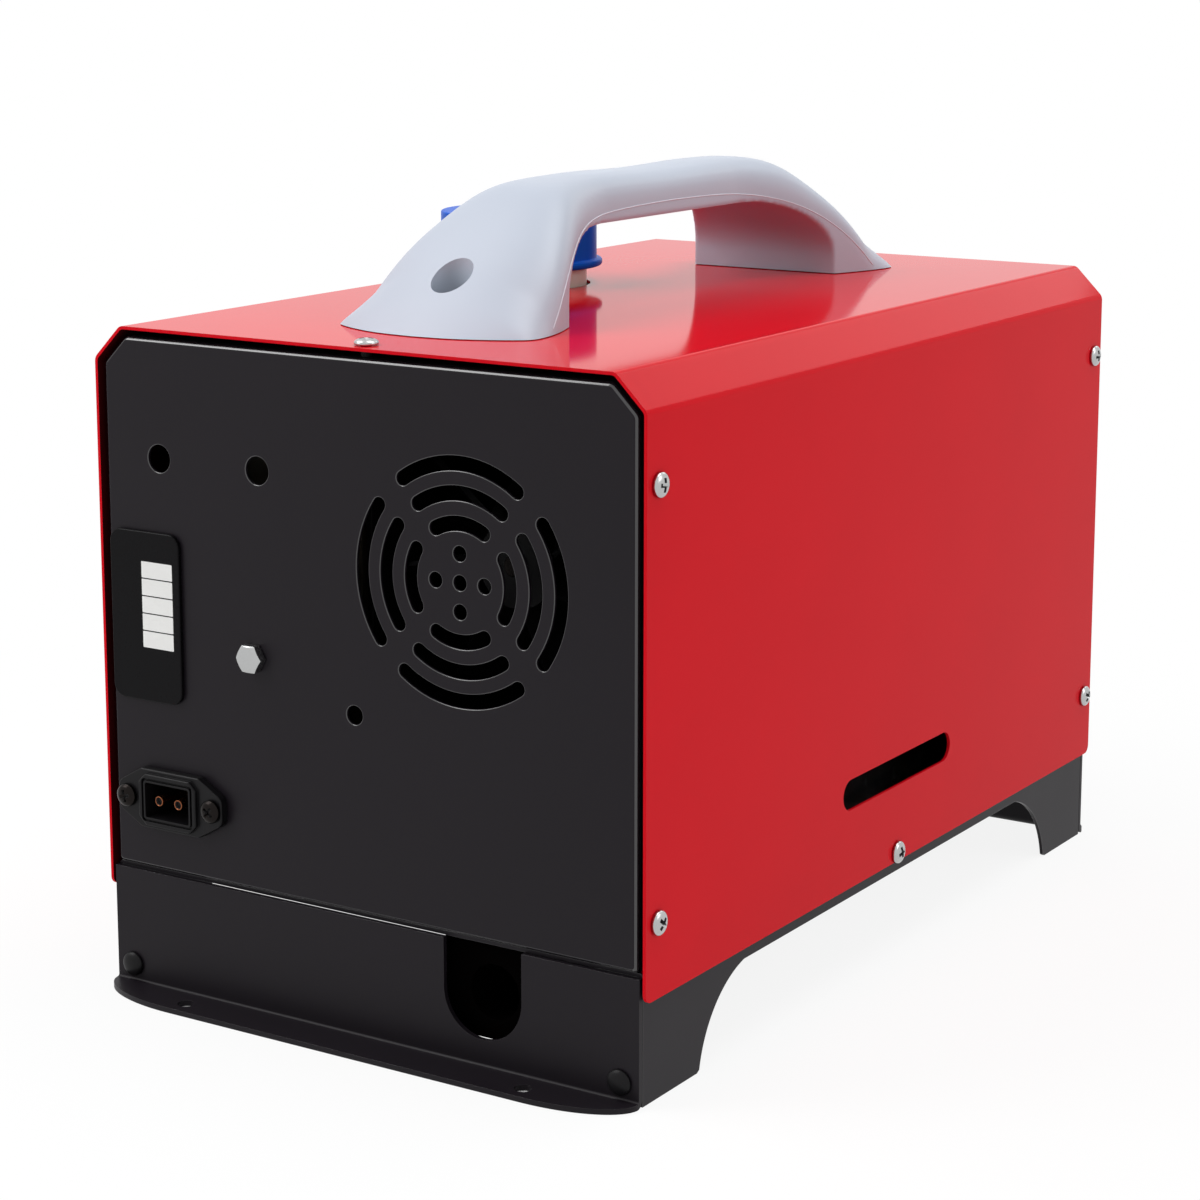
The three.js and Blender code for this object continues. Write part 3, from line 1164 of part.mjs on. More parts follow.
// The exhaust: down through the deck, round a bend and into a silencer that opens behind the slot.
function exhaustPipe() {
  const [bore, steps] = [EXHAUST_RADIUS - PIPE_WALL, 10];
  const z = (SILENCER_BOTTOM + SILENCER_TOP) / 2;
  const rear = -HALF_LENGTH + APRON_SHEET + SILENCER_END_GAP;
  const front = rear + SILENCER_LENGTH;
  const at = (y, height) => vector(EXHAUST_X, y, height);
  const [bendStart, bendEnd] = [at(EXHAUST_Y - EXHAUST_BEND, z), at(EXHAUST_Y, z + EXHAUST_BEND)];
  const path = new THREE.CurvePath();
  path.add(new THREE.LineCurve3(at(front - PAST, z), bendStart));
  path.add(new THREE.QuadraticBezierCurve3(bendStart, at(EXHAUST_Y, z), bendEnd));
  path.add(new THREE.LineCurve3(bendEnd, at(EXHAUST_Y, STAND_TOP)));
  const along = (radius) => {
    const section = new THREE.Shape(circle(0, 0, radius, 14));
    return solid(new THREE.ExtrudeGeometry(section, { steps, bevelEnabled: false, extrudePath: path }));
  };
  const height = SILENCER_TOP - SILENCER_BOTTOM;
  const box = rectangle(EXHAUST_X, z, SILENCER_WIDTH, height, SILENCER_CORNER);
  const silencer = extrude(box, 'Y', rear, front);
  const mouth = drill('Y', [EXHAUST_X, z], bore, rear - PAST, front, 14);
  return cut(join(silencer, along(EXHAUST_RADIUS)), along(bore), mouth);
}

// ---------- fuel pump and hoses ----------
function fuelPump() {
  const [rear, front] = [PUMP_REAR, PUMP_FRONT];
  const saddle = PUMP_SADDLE_LENGTH / 2;
  return join(
    drill('Y', [PUMP_X, PUMP_Z], PUMP_RADIUS, rear, front, 20),
    drill('Y', [PUMP_X, PUMP_Z], PUMP_NIPPLE_RADIUS, rear - PUMP_NIPPLE_LENGTH, rear + PAST, 10),
    drill('Y', [PUMP_X, PUMP_Z], PUMP_NIPPLE_RADIUS, front - PAST, front + PUMP_NIPPLE_LENGTH, 10),
    block(
      [PUMP_X - PUMP_RADIUS, PUMP_X + PUMP_RADIUS],
      [PUMP_Y - saddle, PUMP_Y + saddle],
      [DECK_TOP + GAP, PUMP_Z],
    ),
  );
}

function hose(points) {
  const path = new THREE.CatmullRomCurve3(points.map((point) => vector(...point)), false, 'centripetal');
  const section = new THREE.Shape(circle(0, 0, HOSE_RADIUS, HOSE_SIDES));
  const options = { steps: HOSE_STEPS, bevelEnabled: false, extrudePath: path };
  return solid(new THREE.ExtrudeGeometry(section, options));
}

function suctionHose() {
  const start = PUMP_FRONT + PUMP_NIPPLE_LENGTH + GAP;
  const top = TANK_RECESS_TOP - GAP;
  return hose([
    [PUMP_X, start, PUMP_Z],
    [PUMP_X, start + HOSE_LEAD, PUMP_Z],
    [PUMP_X, start + HOSE_REACH, (PUMP_Z + top) / 2],
    [PUMP_X, start + HOSE_REACH, top],
  ]);
}

function feedHose() {
  const start = PUMP_REAR - PUMP_NIPPLE_LENGTH - GAP;
  const under = STAND_TOP - STAND_SHEET - 2 * HOSE_RADIUS;
  const across = BURNER_X - STAND_HALF_WIDTH;
  return hose([
    [PUMP_X, start, PUMP_Z],
    [PUMP_X, start - HOSE_LEAD, PUMP_Z],
    [PUMP_X + HOSE_REACH, STAND_REAR - HOSE_REACH, PUMP_Z + HOSE_SLACK],
    [across, STAND_REAR - HOSE_REACH, PUMP_Z + 2 * HOSE_SLACK],
    [BURNER_X, STAND_REAR - HOSE_LEAD, under - HOSE_SLACK],
    [BURNER_X, STAND_REAR + HOSE_REACH, under],
  ]);
}

// ---------- warm-air outlet ----------
function outletCollar() {
  const flangeRear = PANEL_FACE + GAP;
  const rear = DUCT_FRONT + GAP;
  const inner = COLLAR_RADIUS - COLLAR_WALL;
  const profile = [
    [inner, 0],
    [COLLAR_RADIUS, 0],
    [COLLAR_RADIUS, flangeRear - rear],
    [COLLAR_FLANGE_RADIUS, flangeRear - rear],
    [COLLAR_FLANGE_RADIUS, COLLAR_FRONT - rear],
    [inner, COLLAR_FRONT - rear],
    [inner, 0],
  ];
  return aboutAxis(profile, rear, 32);
}

function outletRing() {
  const depth = BEZEL_REAR - OUTLET_RING_DEPTH;
  const profile = [
    [OUTLET_BORE, 0],
    [OUTLET_RING_RADIUS, 0],
    [OUTLET_RING_RADIUS, BEZEL_REAR - depth],
    [OUTLET_BEZEL_RADIUS, BEZEL_REAR - depth],
    [OUTLET_BEZEL_RADIUS, BEZEL_FRONT - depth - OUTLET_BEZEL_EDGE],
    [OUTLET_BEZEL_RADIUS - OUTLET_BEZEL_EDGE, BEZEL_FRONT - depth],
    [OUTLET_BORE, BEZEL_FRONT - depth],
    [OUTLET_BORE, 0],
  ];
  const pinHoles = louvreOffsets().map((z) => {
    const tip = louvrePinTip(z) + GAP;
    const radius = LOUVRE_PIN_RADIUS + GAP;
    return drill('X', [LOUVRE_Y, BURNER_Z + z], radius, BURNER_X - tip, BURNER_X + tip, 10);
  });
  return cut(aboutAxis(profile, depth, 32), ...pinHoles);
}

const louvreOffsets = () => [-LOUVRE_PITCH, 0, LOUVRE_PITCH];
const louvrePinTip = (z) => Math.sqrt(OUTLET_BORE ** 2 - z ** 2) + LOUVRE_PIN_DEPTH;

// A flat vane with a pivot pin at each end, short enough to tilt inside the round bore.
function louvre(z) {
  const tilt = (LOUVRE_TILT * Math.PI) / 180;
  const swing = (LOUVRE_CHORD / 2) * Math.sin(tilt) + LOUVRE_THICKNESS / 2;
  const half = Math.sqrt(OUTLET_BORE ** 2 - (Math.abs(z) + swing) ** 2) - 2 * GAP;
  const section = rectangle(LOUVRE_Y, BURNER_Z + z, LOUVRE_CHORD, LOUVRE_THICKNESS, LOUVRE_EDGE);
  const tip = louvrePinTip(z);
  return join(
    extrude(section, 'X', BURNER_X - half, BURNER_X + half),
    drill('X', [LOUVRE_Y, BURNER_Z + z], LOUVRE_PIN_RADIUS, BURNER_X - tip, BURNER_X + tip, 10),
  );
}

// ---------- control panel ----------
const controlSkirt = (grow) => [
  CONTROL_WIDTH - 2 * CONTROL_SKIRT_INSET + 2 * grow,
  CONTROL_HEIGHT - 2 * CONTROL_SKIRT_INSET + 2 * grow,
];
const windowZ = CONTROL_Z + WINDOW_RISE;
const buttonZ = CONTROL_Z - BUTTON_DROP;
const buttonX = (place) => CONTROL_X + place * BUTTON_PITCH;

const windowOutline = (grow) =>
  rectangle(
    CONTROL_X,
    windowZ,
    WINDOW_WIDTH + 2 * grow,
    WINDOW_HEIGHT + 2 * grow,
    Math.max(WINDOW_CORNER + grow, 0),
  );

function controlCase() {
  const radius = CONTROL_CORNER - CONTROL_SKIRT_INSET;
  const bezel = rectangle(CONTROL_X, CONTROL_Z, CONTROL_WIDTH, CONTROL_HEIGHT, CONTROL_CORNER);
  const skirt = rectangle(CONTROL_X, CONTROL_Z, ...controlSkirt(0), radius);
  const hollow = rectangle(CONTROL_X, CONTROL_Z, ...controlSkirt(-CONTROL_WALL), radius / 2);
  const rear = CONTROL_REAR - CONTROL_SKIRT_DEPTH;
  const [seat, sight] = [windowOutline(GAP), windowOutline(-WINDOW_LEDGE)];
  return cut(
    join(extrude(bezel, 'Y', CONTROL_REAR, CONTROL_FRONT), extrude(skirt, 'Y', rear, CONTROL_REAR + PAST)),
    extrude(hollow, 'Y', rear - PAST, CONTROL_FRONT - CONTROL_WALL),
    extrude(seat, 'Y', CONTROL_FRONT - WINDOW_THICKNESS - GAP, CONTROL_FRONT + PAST),
    extrude(sight, 'Y', rear - PAST, CONTROL_FRONT + PAST),
    ...[-1, 0, 1].map((place) =>
      drill('Y', [buttonX(place), buttonZ], BUTTON_RADIUS + GAP, rear, CONTROL_FRONT + PAST, 14),
    ),
  );
}

function displayWindow() {
  return extrude(windowOutline(0), 'Y', CONTROL_FRONT - WINDOW_THICKNESS, CONTROL_FRONT);
}

// A push button with a collar behind the bezel that keeps it in its hole.
function button(place) {
  const inside = CONTROL_FRONT - CONTROL_WALL - GAP;
  const height = CONTROL_FRONT + BUTTON_PROUD - inside + BUTTON_COLLAR_DEPTH;
  const profile = [
    [0, 0],
    [BUTTON_RADIUS + BUTTON_COLLAR, 0],
    [BUTTON_RADIUS + BUTTON_COLLAR, BUTTON_COLLAR_DEPTH],
    [BUTTON_RADIUS, BUTTON_COLLAR_DEPTH],
    [BUTTON_RADIUS, height - BUTTON_EDGE],
    [BUTTON_RADIUS - BUTTON_EDGE, height],
    [0, height],
  ];
  return lathe(profile, [buttonX(place), inside - BUTTON_COLLAR_DEPTH, buttonZ], vector(0, 1, 0), 14);
}

// ---------- assembly ----------
const heater = new THREE.Group();

function add(name, body, material) {
  const mesh = body.getMesh();
  const geometry = new THREE.BufferGeometry();
  geometry.setAttribute('position', new THREE.BufferAttribute(mesh.vertProperties, 3));
  geometry.setIndex(new THREE.BufferAttribute(mesh.triVerts, 1));
  geometry.computeVertexNormals();
  const piece = new THREE.Mesh(geometry, material);
  piece.name = name;
  heater.add(piece);
}

add('outer_shell', outerShell(), redPaint());
add('rear_panel', rearPanel(), blackPaint());
add('front_panel', frontPanel(), blackPaint());
add('base_frame', baseFrame(), blackPaint());
add('rear_apron', rearApron(), blackPaint());
add('front_apron', apron(ENDS.front), blackPaint());
add('rating_plate', ratingPlate(), blackPlastic());

for (const [sideName, side] of Object.entries(SIDES)) {
  for (const { name, y, z } of sideScrews) {
    add(`screw_${sideName}_${name}`, caseScrew([side * HALF_WIDTH, y, z], vector(side, 0, 0)), zincPlate());
  }
  for (const [endName, end] of Object.entries(ENDS)) {
    add(`apron_plug_${endName}_${sideName}`, apronPlug(side, end), blackPlastic());
  }
}
add('screw_top_rear', caseScrew([0, -SCREW_Y, CASE_TOP], vector(0, 0, 1)), zincPlate());

add('carry_handle', carryHandle(), greyPlastic());
add('handle_screw_rear', handleScrew(ENDS.rear), zincPlate());
add('handle_screw_front', handleScrew(ENDS.front), zincPlate());

add('fuel_tank', fuelTank(), tankPlastic());
add('fuel_cap', fuelCap(), bluePlastic());
add('cap_gasket', capGasket(), rubber());
add('tank_bolt', tankBolt(), zincPlate());

add('inlet_body', inletBody(), blackPlastic());
const leftToRight = ['left', 'right'];
inletPinPlaces().forEach((x, i) => add(`inlet_pin_${leftToRight[i]}`, inletPin(x), copper()));
inletScrewPlaces().forEach((x, i) =>
  add(`inlet_screw_${leftToRight[i]}`, caseScrew([x, inletFace, INLET_Z], vector(0, -1, 0)), blackSteel()),
);

add('air_duct', airDuct(), blackPlastic());
add('heater_stand', heaterStand(), zincPlate());
add('heat_exchanger', heatExchanger(), castAluminium());
add('burner_tube', burnerTube(), stainless());
add('glow_plug', glowPlug(), stainless());
add('blower_spider', blowerSpider(), blackPlastic());
add('fan_motor', fanMotor(), zincPlate());
add('motor_shaft', motorShaft(), zincPlate());
add('cooling_fan', coolingFan(), blackPlastic());
add('combustion_fan', combustionFan(), castAluminium());
add('control_unit', controlUnit(), blackPlastic());
add('exhaust_pipe', exhaustPipe(), blackSteel());
add('intake_stub', pipeStub(pipePlaces[1]), blackPlastic());

add('fuel_pump', fuelPump(), castAluminium());
add('suction_hose', suctionHose(), rubber());
add('feed_hose', feedHose(), rubber());

add('outlet_collar', outletCollar(), blackPlastic());
add('outlet_ring', outletRing(), blackPlastic());
louvreOffsets().forEach((z, i) => {
  add(`louvre_${['lower', 'middle', 'upper'][i]}`, louvre(z), blackPlastic());
});

add('control_case', controlCase(), blackPlastic());
add('display_window', displayWindow(), screenGlass());
['down', 'power', 'up'].forEach((use, i) => add(`button_${use}`, button(i - 1), rubber()));

export default heater;
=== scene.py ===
"""Looks of the diesel air heater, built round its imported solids.

Shapes are written in millimetres in the heater's own frame and turned into metres when a piece is made.
The rear, with the grille and the power inlet, faces -Y, and the warm-air outlet faces +Y.
"""

import json
from math import acos, asin, atan2, cos, hypot, pi, radians, sin, sqrt, tan, tanh

import bmesh
import bpy
from mathutils import Matrix, Vector
from mathutils.bvhtree import BVHTree


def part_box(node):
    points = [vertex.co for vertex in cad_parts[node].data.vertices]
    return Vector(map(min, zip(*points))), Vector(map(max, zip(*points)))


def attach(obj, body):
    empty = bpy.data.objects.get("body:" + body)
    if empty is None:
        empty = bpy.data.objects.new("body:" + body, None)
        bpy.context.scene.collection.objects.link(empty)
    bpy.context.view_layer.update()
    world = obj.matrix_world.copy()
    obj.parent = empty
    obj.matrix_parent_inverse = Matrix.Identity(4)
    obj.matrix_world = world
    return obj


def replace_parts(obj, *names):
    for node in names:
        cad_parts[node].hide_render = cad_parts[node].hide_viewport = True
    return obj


MM = 0.001
ARC_STEP = pi / 16

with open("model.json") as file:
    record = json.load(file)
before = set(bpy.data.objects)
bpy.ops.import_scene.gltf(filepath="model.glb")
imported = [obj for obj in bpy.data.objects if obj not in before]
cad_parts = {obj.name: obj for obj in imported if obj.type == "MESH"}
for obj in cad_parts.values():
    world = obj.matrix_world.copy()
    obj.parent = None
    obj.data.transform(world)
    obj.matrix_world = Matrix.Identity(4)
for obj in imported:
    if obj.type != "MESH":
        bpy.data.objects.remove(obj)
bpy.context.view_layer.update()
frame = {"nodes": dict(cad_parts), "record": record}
SLOT_OF = {part["node"]: part["material_slot"] for part in frame["record"]["subparts"]}
BODY_OF = {
    node: body
    for body, nodes in frame["record"]["behaviour"]["bodies"].items()
    for node in nodes
}


def corners(node):
    """Lowest and highest corner of a node, in millimetres."""
    low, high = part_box(node)
    return low / MM, high / MM


def middle(node):
    low, high = corners(node)
    return (low + high) / 2


# ---------- camera and lights ----------
PHOTO_SIDE = 1200
FOCAL_PIXELS = 2927.5
HORIZON_RISE_PIXELS = 120
SENSOR = 36
NEAREST_SEEN = 0.05
CAMERA_PLACE = Vector((0.6151, -0.9897, 0.3941))
CAMERA_HEADING = radians(-32.605)
CAMERA_TILT = radians(10.506)

# Each softbox: its place and aim, its width and height, all in metres, and its power in watts.
SOFTBOXES = {
    "key_softbox": ((-1.3, -1.3, 1.2), (0, 0, 0.15), 0.9, 0.8, 11.5),
    "side_softbox": ((1.6, 0.3, 1.0), (0, 0, 0.15), 1.0, 0.9, 5.4),
    "top_softbox": ((0.3, 0.1, 1.4), (0, 0, 0.2), 0.7, 0.7, 7),
    "edge_softbox": ((-0.65, -0.38, 1.2), (0, 0, 0.2), 0.8, 0.55, 6.5),
    "chamfer_softbox": ((0.35, 1.3, 1.0), (0, 0, 0.2), 0.6, 0.5, 1.5),
}
WORLD_LEVEL = 0.42


def linear(red, green, blue):
    """A colour as it is seen, 0 to 255, as the linear values that a shader takes."""
    values = []
    for channel in (red, green, blue):
        seen = channel / 255
        values.append(((seen + 0.055) / 1.055) ** 2.4 if channel > 10 else seen / 12.92)
    return tuple(values)


def set_camera():
    data = bpy.data.cameras.new("camera")
    data.sensor_width = SENSOR
    data.lens = FOCAL_PIXELS / PHOTO_SIDE * SENSOR
    data.shift_y = -HORIZON_RISE_PIXELS / PHOTO_SIDE
    data.clip_start = NEAREST_SEEN
    camera = bpy.data.objects.new("camera", data)
    ahead = Vector((sin(CAMERA_HEADING), cos(CAMERA_HEADING), -tan(CAMERA_TILT)))
    camera.location = CAMERA_PLACE
    camera.rotation_mode = "QUATERNION"
    camera.rotation_quaternion = ahead.to_track_quat("-Z", "Y")
    bpy.context.scene.collection.objects.link(camera)
    bpy.context.scene.camera = camera


def add_softbox(name, place, aim, width, height, watts):
    data = bpy.data.lights.new(name, "AREA")
    data.shape = "RECTANGLE"
    data.size, data.size_y = width, height
    data.energy = watts
    lamp = bpy.data.objects.new(name, data)
    lamp.location = place
    lamp.rotation_mode = "QUATERNION"
    lamp.rotation_quaternion = (Vector(aim) - Vector(place)).to_track_quat("-Z", "Y")
    bpy.context.scene.collection.objects.link(lamp)


# ---------- node wiring ----------
class Signal:
    """What a node puts out. Arithmetic on signals adds Math nodes."""

    def __init__(self, wiring, socket):
        self.wiring = wiring
        self.socket = socket

    def math(self, operation, first, second):
        return self.wiring.node("Math", {"operation": operation}, first, second)

    def __add__(self, other):
        return self.math("ADD", self, other)

    def __radd__(self, other):
        return self.math("ADD", other, self)

    def __sub__(self, other):
        return self.math("SUBTRACT", self, other)

    def __rsub__(self, other):
        return self.math("SUBTRACT", other, self)

    def __mul__(self, other):
        return self.math("MULTIPLY", self, other)

    def __rmul__(self, other):
        return self.math("MULTIPLY", other, self)

    def __truediv__(self, other):
        return self.math("DIVIDE", self, other)

    def at_least(self, other):
        return self.math("MAXIMUM", self, other)

    def at_most(self, other):
        return self.math("MINIMUM", self, other)

    def above(self, other):
        return self.math("GREATER_THAN", self, other)


class Wiring:
    """Adds nodes to one material or world."""

    def __init__(self, owner):
        owner.use_nodes = True
        self.tree = owner.node_tree
        self.tree.nodes.clear()

    def node(self, kind, settings=None, *values, output=0, **named):
        made = self.tree.nodes.new("ShaderNode" + kind)
        for name, value in (settings or {}).items():
            setattr(made, name, value)
        inputs = [(made.inputs[i], value) for i, value in enumerate(values)]
        inputs += [(made.inputs[name.replace("_", " ")], value) for name, value in named.items()]
        for socket, value in inputs:
            self.feed(socket, value)
        return Signal(self, made.outputs[output] if len(made.outputs) else None)

    def feed(self, socket, value):
        if isinstance(value, Signal):
            self.tree.links.new(value.socket, socket)
        elif value is not None:
            socket.default_value = value

    def blend(self, low, high, factor):
        """One colour turning into another."""
        mixed = self.node("Mix", {"data_type": "RGBA"}, factor, output=2)
        node = mixed.socket.node
        self.feed(node.inputs[6], low)
        self.feed(node.inputs[7], high)
        return mixed

    def place(self, stretch=(1, 1, 1)):
        """Where a point is on the piece, in metres."""
        at = self.node("TexCoord", output="Object")
        if stretch == (1, 1, 1):
            return at
        return self.node("VectorMath", {"operation": "MULTIPLY"}, at, stretch)

    def noise(self, grain_mm, detail=2.0, stretch=(1, 1, 1)):
        """Cloudy noise with blots of about the given size."""
        scale = 1 / (grain_mm * MM)
        return self.node("TexNoise", None, Vector=self.place(stretch), Scale=scale, Detail=detail)

    def bump(self, height, depth_mm):
        return self.node("Bump", None, Strength=1.0, Distance=depth_mm * MM, Height=height)

    def seen(self):
        """1 for what the camera sees, also in metal or through glass, and 0 for light on a surface."""
        rays = ("Is Camera Ray", "Is Glossy Ray", "Is Transmission Ray")
        camera, glossy, through = [self.node("LightPath", output=ray) for ray in rays]
        return (camera + glossy + through).at_most(1.0)


class Finish(Wiring):
    """A surface finish: a Principled shader whose steady values are set and whose others vary."""

    def __init__(self, name, **steady):
        self.material = bpy.data.materials.new(name)
        super().__init__(self.material)
        self.shader = self.node("BsdfPrincipled").socket.node
        for socket, value in steady.items():
            self.shader.inputs[socket.replace("_", " ")].default_value = value
        self.node("OutputMaterial", None, Surface=Signal(self, self.shader.outputs[0]))

    def vary(self, **signals):
        for socket, signal in signals.items():
            self.feed(self.shader.inputs[socket.replace("_", " ")], signal)
        return self

    def tint(self, colour, spread, factor):
        """A colour that swings a little darker and lighter."""
        darker = (*(c * (1 - spread) for c in colour), 1)
        lighter = (*(min(1, c * (1 + spread)) for c in colour), 1)
        return self.blend(darker, lighter, factor)


def powder_coat(name, colour, roughness, index, peel_mm, depth_mm):
    """Baked paint: an even colour, orange peel and gloss that changes a little from place to place."""
    finish = Finish(name, IOR=index)
    clouds = finish.noise(60, 3)
    peel = finish.noise(peel_mm, 1)
    return finish.vary(
        Base_Color=finish.tint(colour, 0.05, clouds),
        Roughness=roughness * (0.85 + clouds * 0.3),
        Normal=finish.bump(peel, depth_mm),
    ).material


def moulded(name, colour, roughness, spread=0.05, grain_mm=0.5, depth_mm=0.02, specular=0.5):
    """Injection-moulded plastic with a fine spark-eroded grain and faint flow marks."""
    finish = Finish(name, Specular_IOR_Level=specular)
    flow = finish.noise(35, 3, (1, 0.35, 1))
    grain = finish.noise(grain_mm, 2)
    return finish.vary(
        Base_Color=finish.tint(colour, spread, flow),
        Roughness=roughness + (flow - 0.5) * 0.08 + (grain - 0.5) * 0.06,
        Normal=finish.bump(grain, depth_mm),
    ).material


def metal(name, colour, roughness, spread, grain_mm, depth_mm, stretch=(1, 1, 1)):
    """Bare or plated metal: stretched for a drawn finish, round blots for a plated or cast one."""
    finish = Finish(name, Metallic=1.0)
    grain = finish.noise(grain_mm, 4, stretch)
    stains = finish.noise(9, 3)
    return finish.vary(
        Base_Color=finish.tint(colour, spread, stains),
        Roughness=roughness + (stains - 0.5) * 0.12 + (grain - 0.5) * 0.15,
        Normal=finish.bump(grain, depth_mm),
    ).material


def smoked_screen():
    """The display's window: dark and glossy, with a faint haze."""
    finish = Finish("smoked_screen", IOR=1.49, Coat_Weight=0.4, Coat_Roughness=0.02)
    haze = finish.noise(18, 2)
    return finish.vary(
        Base_Color=finish.tint(linear(20, 24, 27), 0.2, haze),
        Roughness=0.06 + haze * 0.05,
    ).material


def natural_polyethylene(name, colour):
    """The tank's translucent plastic, with slow waves from blow moulding."""
    finish = Finish(name, Subsurface_Weight=0.25, Subsurface_Radius=(0.004, 0.004, 0.003))
    waves = finish.noise(22, 2)
    grain = finish.noise(1.2, 2)
    return finish.vary(
        Base_Color=finish.tint(colour, 0.04, waves),
        Roughness=0.38 + (grain - 0.5) * 0.1,
        Normal=finish.bump(waves, 0.3),
    ).material


FINISHES = {
    "red_paint": powder_coat("red_gloss_paint", linear(208, 13, 28), 0.07, 1.12, 2.5, 0.006),
    "black_paint": powder_coat("black_satin_paint", linear(25, 21, 26), 0.4, 1.25, 0.6, 0.012),
    "label_plastic": moulded("label_film", linear(12, 11, 13), 0.28, 0.05, 1.5, 0.004, 0.08),
    "black_plastic": moulded("black_moulding", linear(16, 15, 17), 0.36, 0.08, 0.4, 0.012, 0.16),
    "grey_plastic": moulded("grey_moulding", linear(173, 180, 193), 0.42, 0.025, 0.35, 0.015),
    "blue_plastic": moulded("blue_moulding", linear(0, 82, 188), 0.34, 0.06, 0.6, 0.01, 0.06),
    "tank_plastic": natural_polyethylene("natural_polyethylene", linear(226, 214, 202)),
    "zinc": metal("zinc_plate", linear(182, 183, 183), 0.24, 0.1, 0.25, 0.006),
    "black_steel": metal("black_oxide_steel", linear(32, 29, 28), 0.24, 0.15, 0.3, 0.006),
    "cast_aluminium": metal("cast_aluminium", linear(176, 178, 180), 0.48, 0.1, 0.8, 0.05),
    "stainless": metal("stainless_steel", linear(190, 187, 182), 0.3, 0.08, 0.15, 0.004, (1, 0.05, 1)),
    # Copper made darker than bare copper as painted shade, standing in for the dark surroundings that the
    # pin tips would mirror.
    "copper": metal("copper_contact_with_painted_shade", linear(150, 92, 62), 0.25, 0.15, 0.4, 0.004),
    "rubber": moulded("rubber", linear(36, 36, 37), 0.75, 0.12, 0.3, 0.03, 0.3),
    "screen": smoked_screen(),
}
PRINTED_WHITE = moulded("printed_white", linear(232, 232, 230), 0.35, 0.02, 1.0, 0.003)
# Painted shade: a dark grey for screw shanks, cross recesses and the hollow tips of the inlet pins, where
# shade falls.
PAINTED_SHADE_IN_RECESS = moulded("painted_shade_in_recesses", linear(46, 45, 46), 0.6, 0.2, 0.3, 0.01, 0.2)
# Soot on the exhaust, deepened to near-black with no gloss as painted shade, so the pipe seen through the
# apron's slot looks shaded.
SOOT_AND_PAINTED_SHADE = moulded("soot_and_painted_shade_on_steel", linear(5, 4, 4), 0.9, 0.25, 2.0, 0.02, 0.0)
BLACK_EDGE = powder_coat("black_paint_thinned_on_edges", linear(28, 25, 29), 0.16, 1.75, 0.6, 0.002)
# Thin red overspray inside the case, darkened as painted shade so that the inner faces look shaded.
RED_INSIDE_OVERSPRAY_AND_SHADE = powder_coat("red_overspray_and_painted_shade_inside", linear(58, 6, 9), 0.6, 1.1, 1.5, 0.01)
# Painted shade: the tank body is made dark so that it looks shaded through the panel's holes; its plastic
# is as pale as the neck.
TANK_PAINTED_SHADE = natural_polyethylene("tank_polyethylene_darkened_as_painted_shade", linear(84, 74, 62))
MOTOR_LACQUER = powder_coat("motor_lacquer", linear(20, 19, 20), 0.4, 1.3, 1.0, 0.01)
# Painted highlight: the parting line's ridge is paler than the handle so that it reads as a thin lit line.
PARTING_LINE_PAINTED_HIGHLIGHT = moulded("grey_moulding_ridge_painted_highlight", linear(204, 209, 219), 0.3, 0.02, 0.4, 0.004)
BLACK_SHEET = [FINISHES["black_paint"], BLACK_EDGE]
HIDDEN_FINISHES = {
    "exhaust_pipe": SOOT_AND_PAINTED_SHADE,
    "fuel_tank": TANK_PAINTED_SHADE,
    "fan_motor": MOTOR_LACQUER,
    "motor_shaft": FINISHES["black_steel"],
}


# ---------- outlines ----------
def arc(x, y, radius, start, end, steps):
    angles = [start + (end - start) * i / steps for i in range(steps + 1)]
    return [(x + radius * cos(a), y + radius * sin(a)) for a in angles]


def circle(x, y, radius, steps=48):
    return arc(x, y, radius, 0, 2 * pi, steps)[1:]


def rounded(points):
    """An outline through corners (x, y, radius), each turned into an arc of its radius."""
    outline = []
    for i, (x, y, radius) in enumerate(points):
        if not radius:
            outline.append((x, y))
            continue
        corner = Vector((x, y))
        before = (Vector(points[i - 1][:2]) - corner).normalized()
        after = (Vector(points[(i + 1) % len(points)][:2]) - corner).normalized()
        half = acos(max(-1, min(1, before.dot(after)))) / 2
        centre = corner + (before + after).normalized() * (radius / sin(half))
        start = corner + before * (radius / tan(half)) - centre
        end = corner + after * (radius / tan(half)) - centre
        sweep = atan2(start.x * end.y - start.y * end.x, start.dot(end))
        steps = max(3, round(abs(sweep) / ARC_STEP))
        first = atan2(start.y, start.x)
        outline += arc(centre.x, centre.y, radius, first, first + sweep, steps)
    return outline


def rectangle(x, y, width, height, radius=0.0):
    half_width, half_height = width / 2, height / 2
    signs = [(-1, -1), (1, -1), (1, 1), (-1, 1)]
    return rounded([(x + i * half_width, y + j * half_height, radius) for i, j in signs])


def rectangle_between(x, z, radius=0.0):
    return rectangle(sum(x) / 2, sum(z) / 2, x[1] - x[0], z[1] - z[0], radius)


def shrinking_rectangle(x, y, width, height, radius):
    """A rounded rectangle as `softened` takes it: its outline at an inset from its edge."""
    return lambda inset: rectangle(x, y, width - 2 * inset, height - 2 * inset, radius - inset)


def obround(x, y, length, width):
    run, radius = (length - width) / 2, width / 2
    return arc(x + run, y, radius, -pi / 2, pi / 2, 16) + arc(x - run, y, radius, pi / 2, 1.5 * pi, 16)


# ---------- solids ----------
def along(axis, u, v, w):
    """A point (u, v) of an outline, at w along its axis. X takes (y, z), Y (x, z) and Z (x, y)."""
    return {"X": (w, u, v), "Y": (u, w, v), "Z": (u, v, w)}[axis]


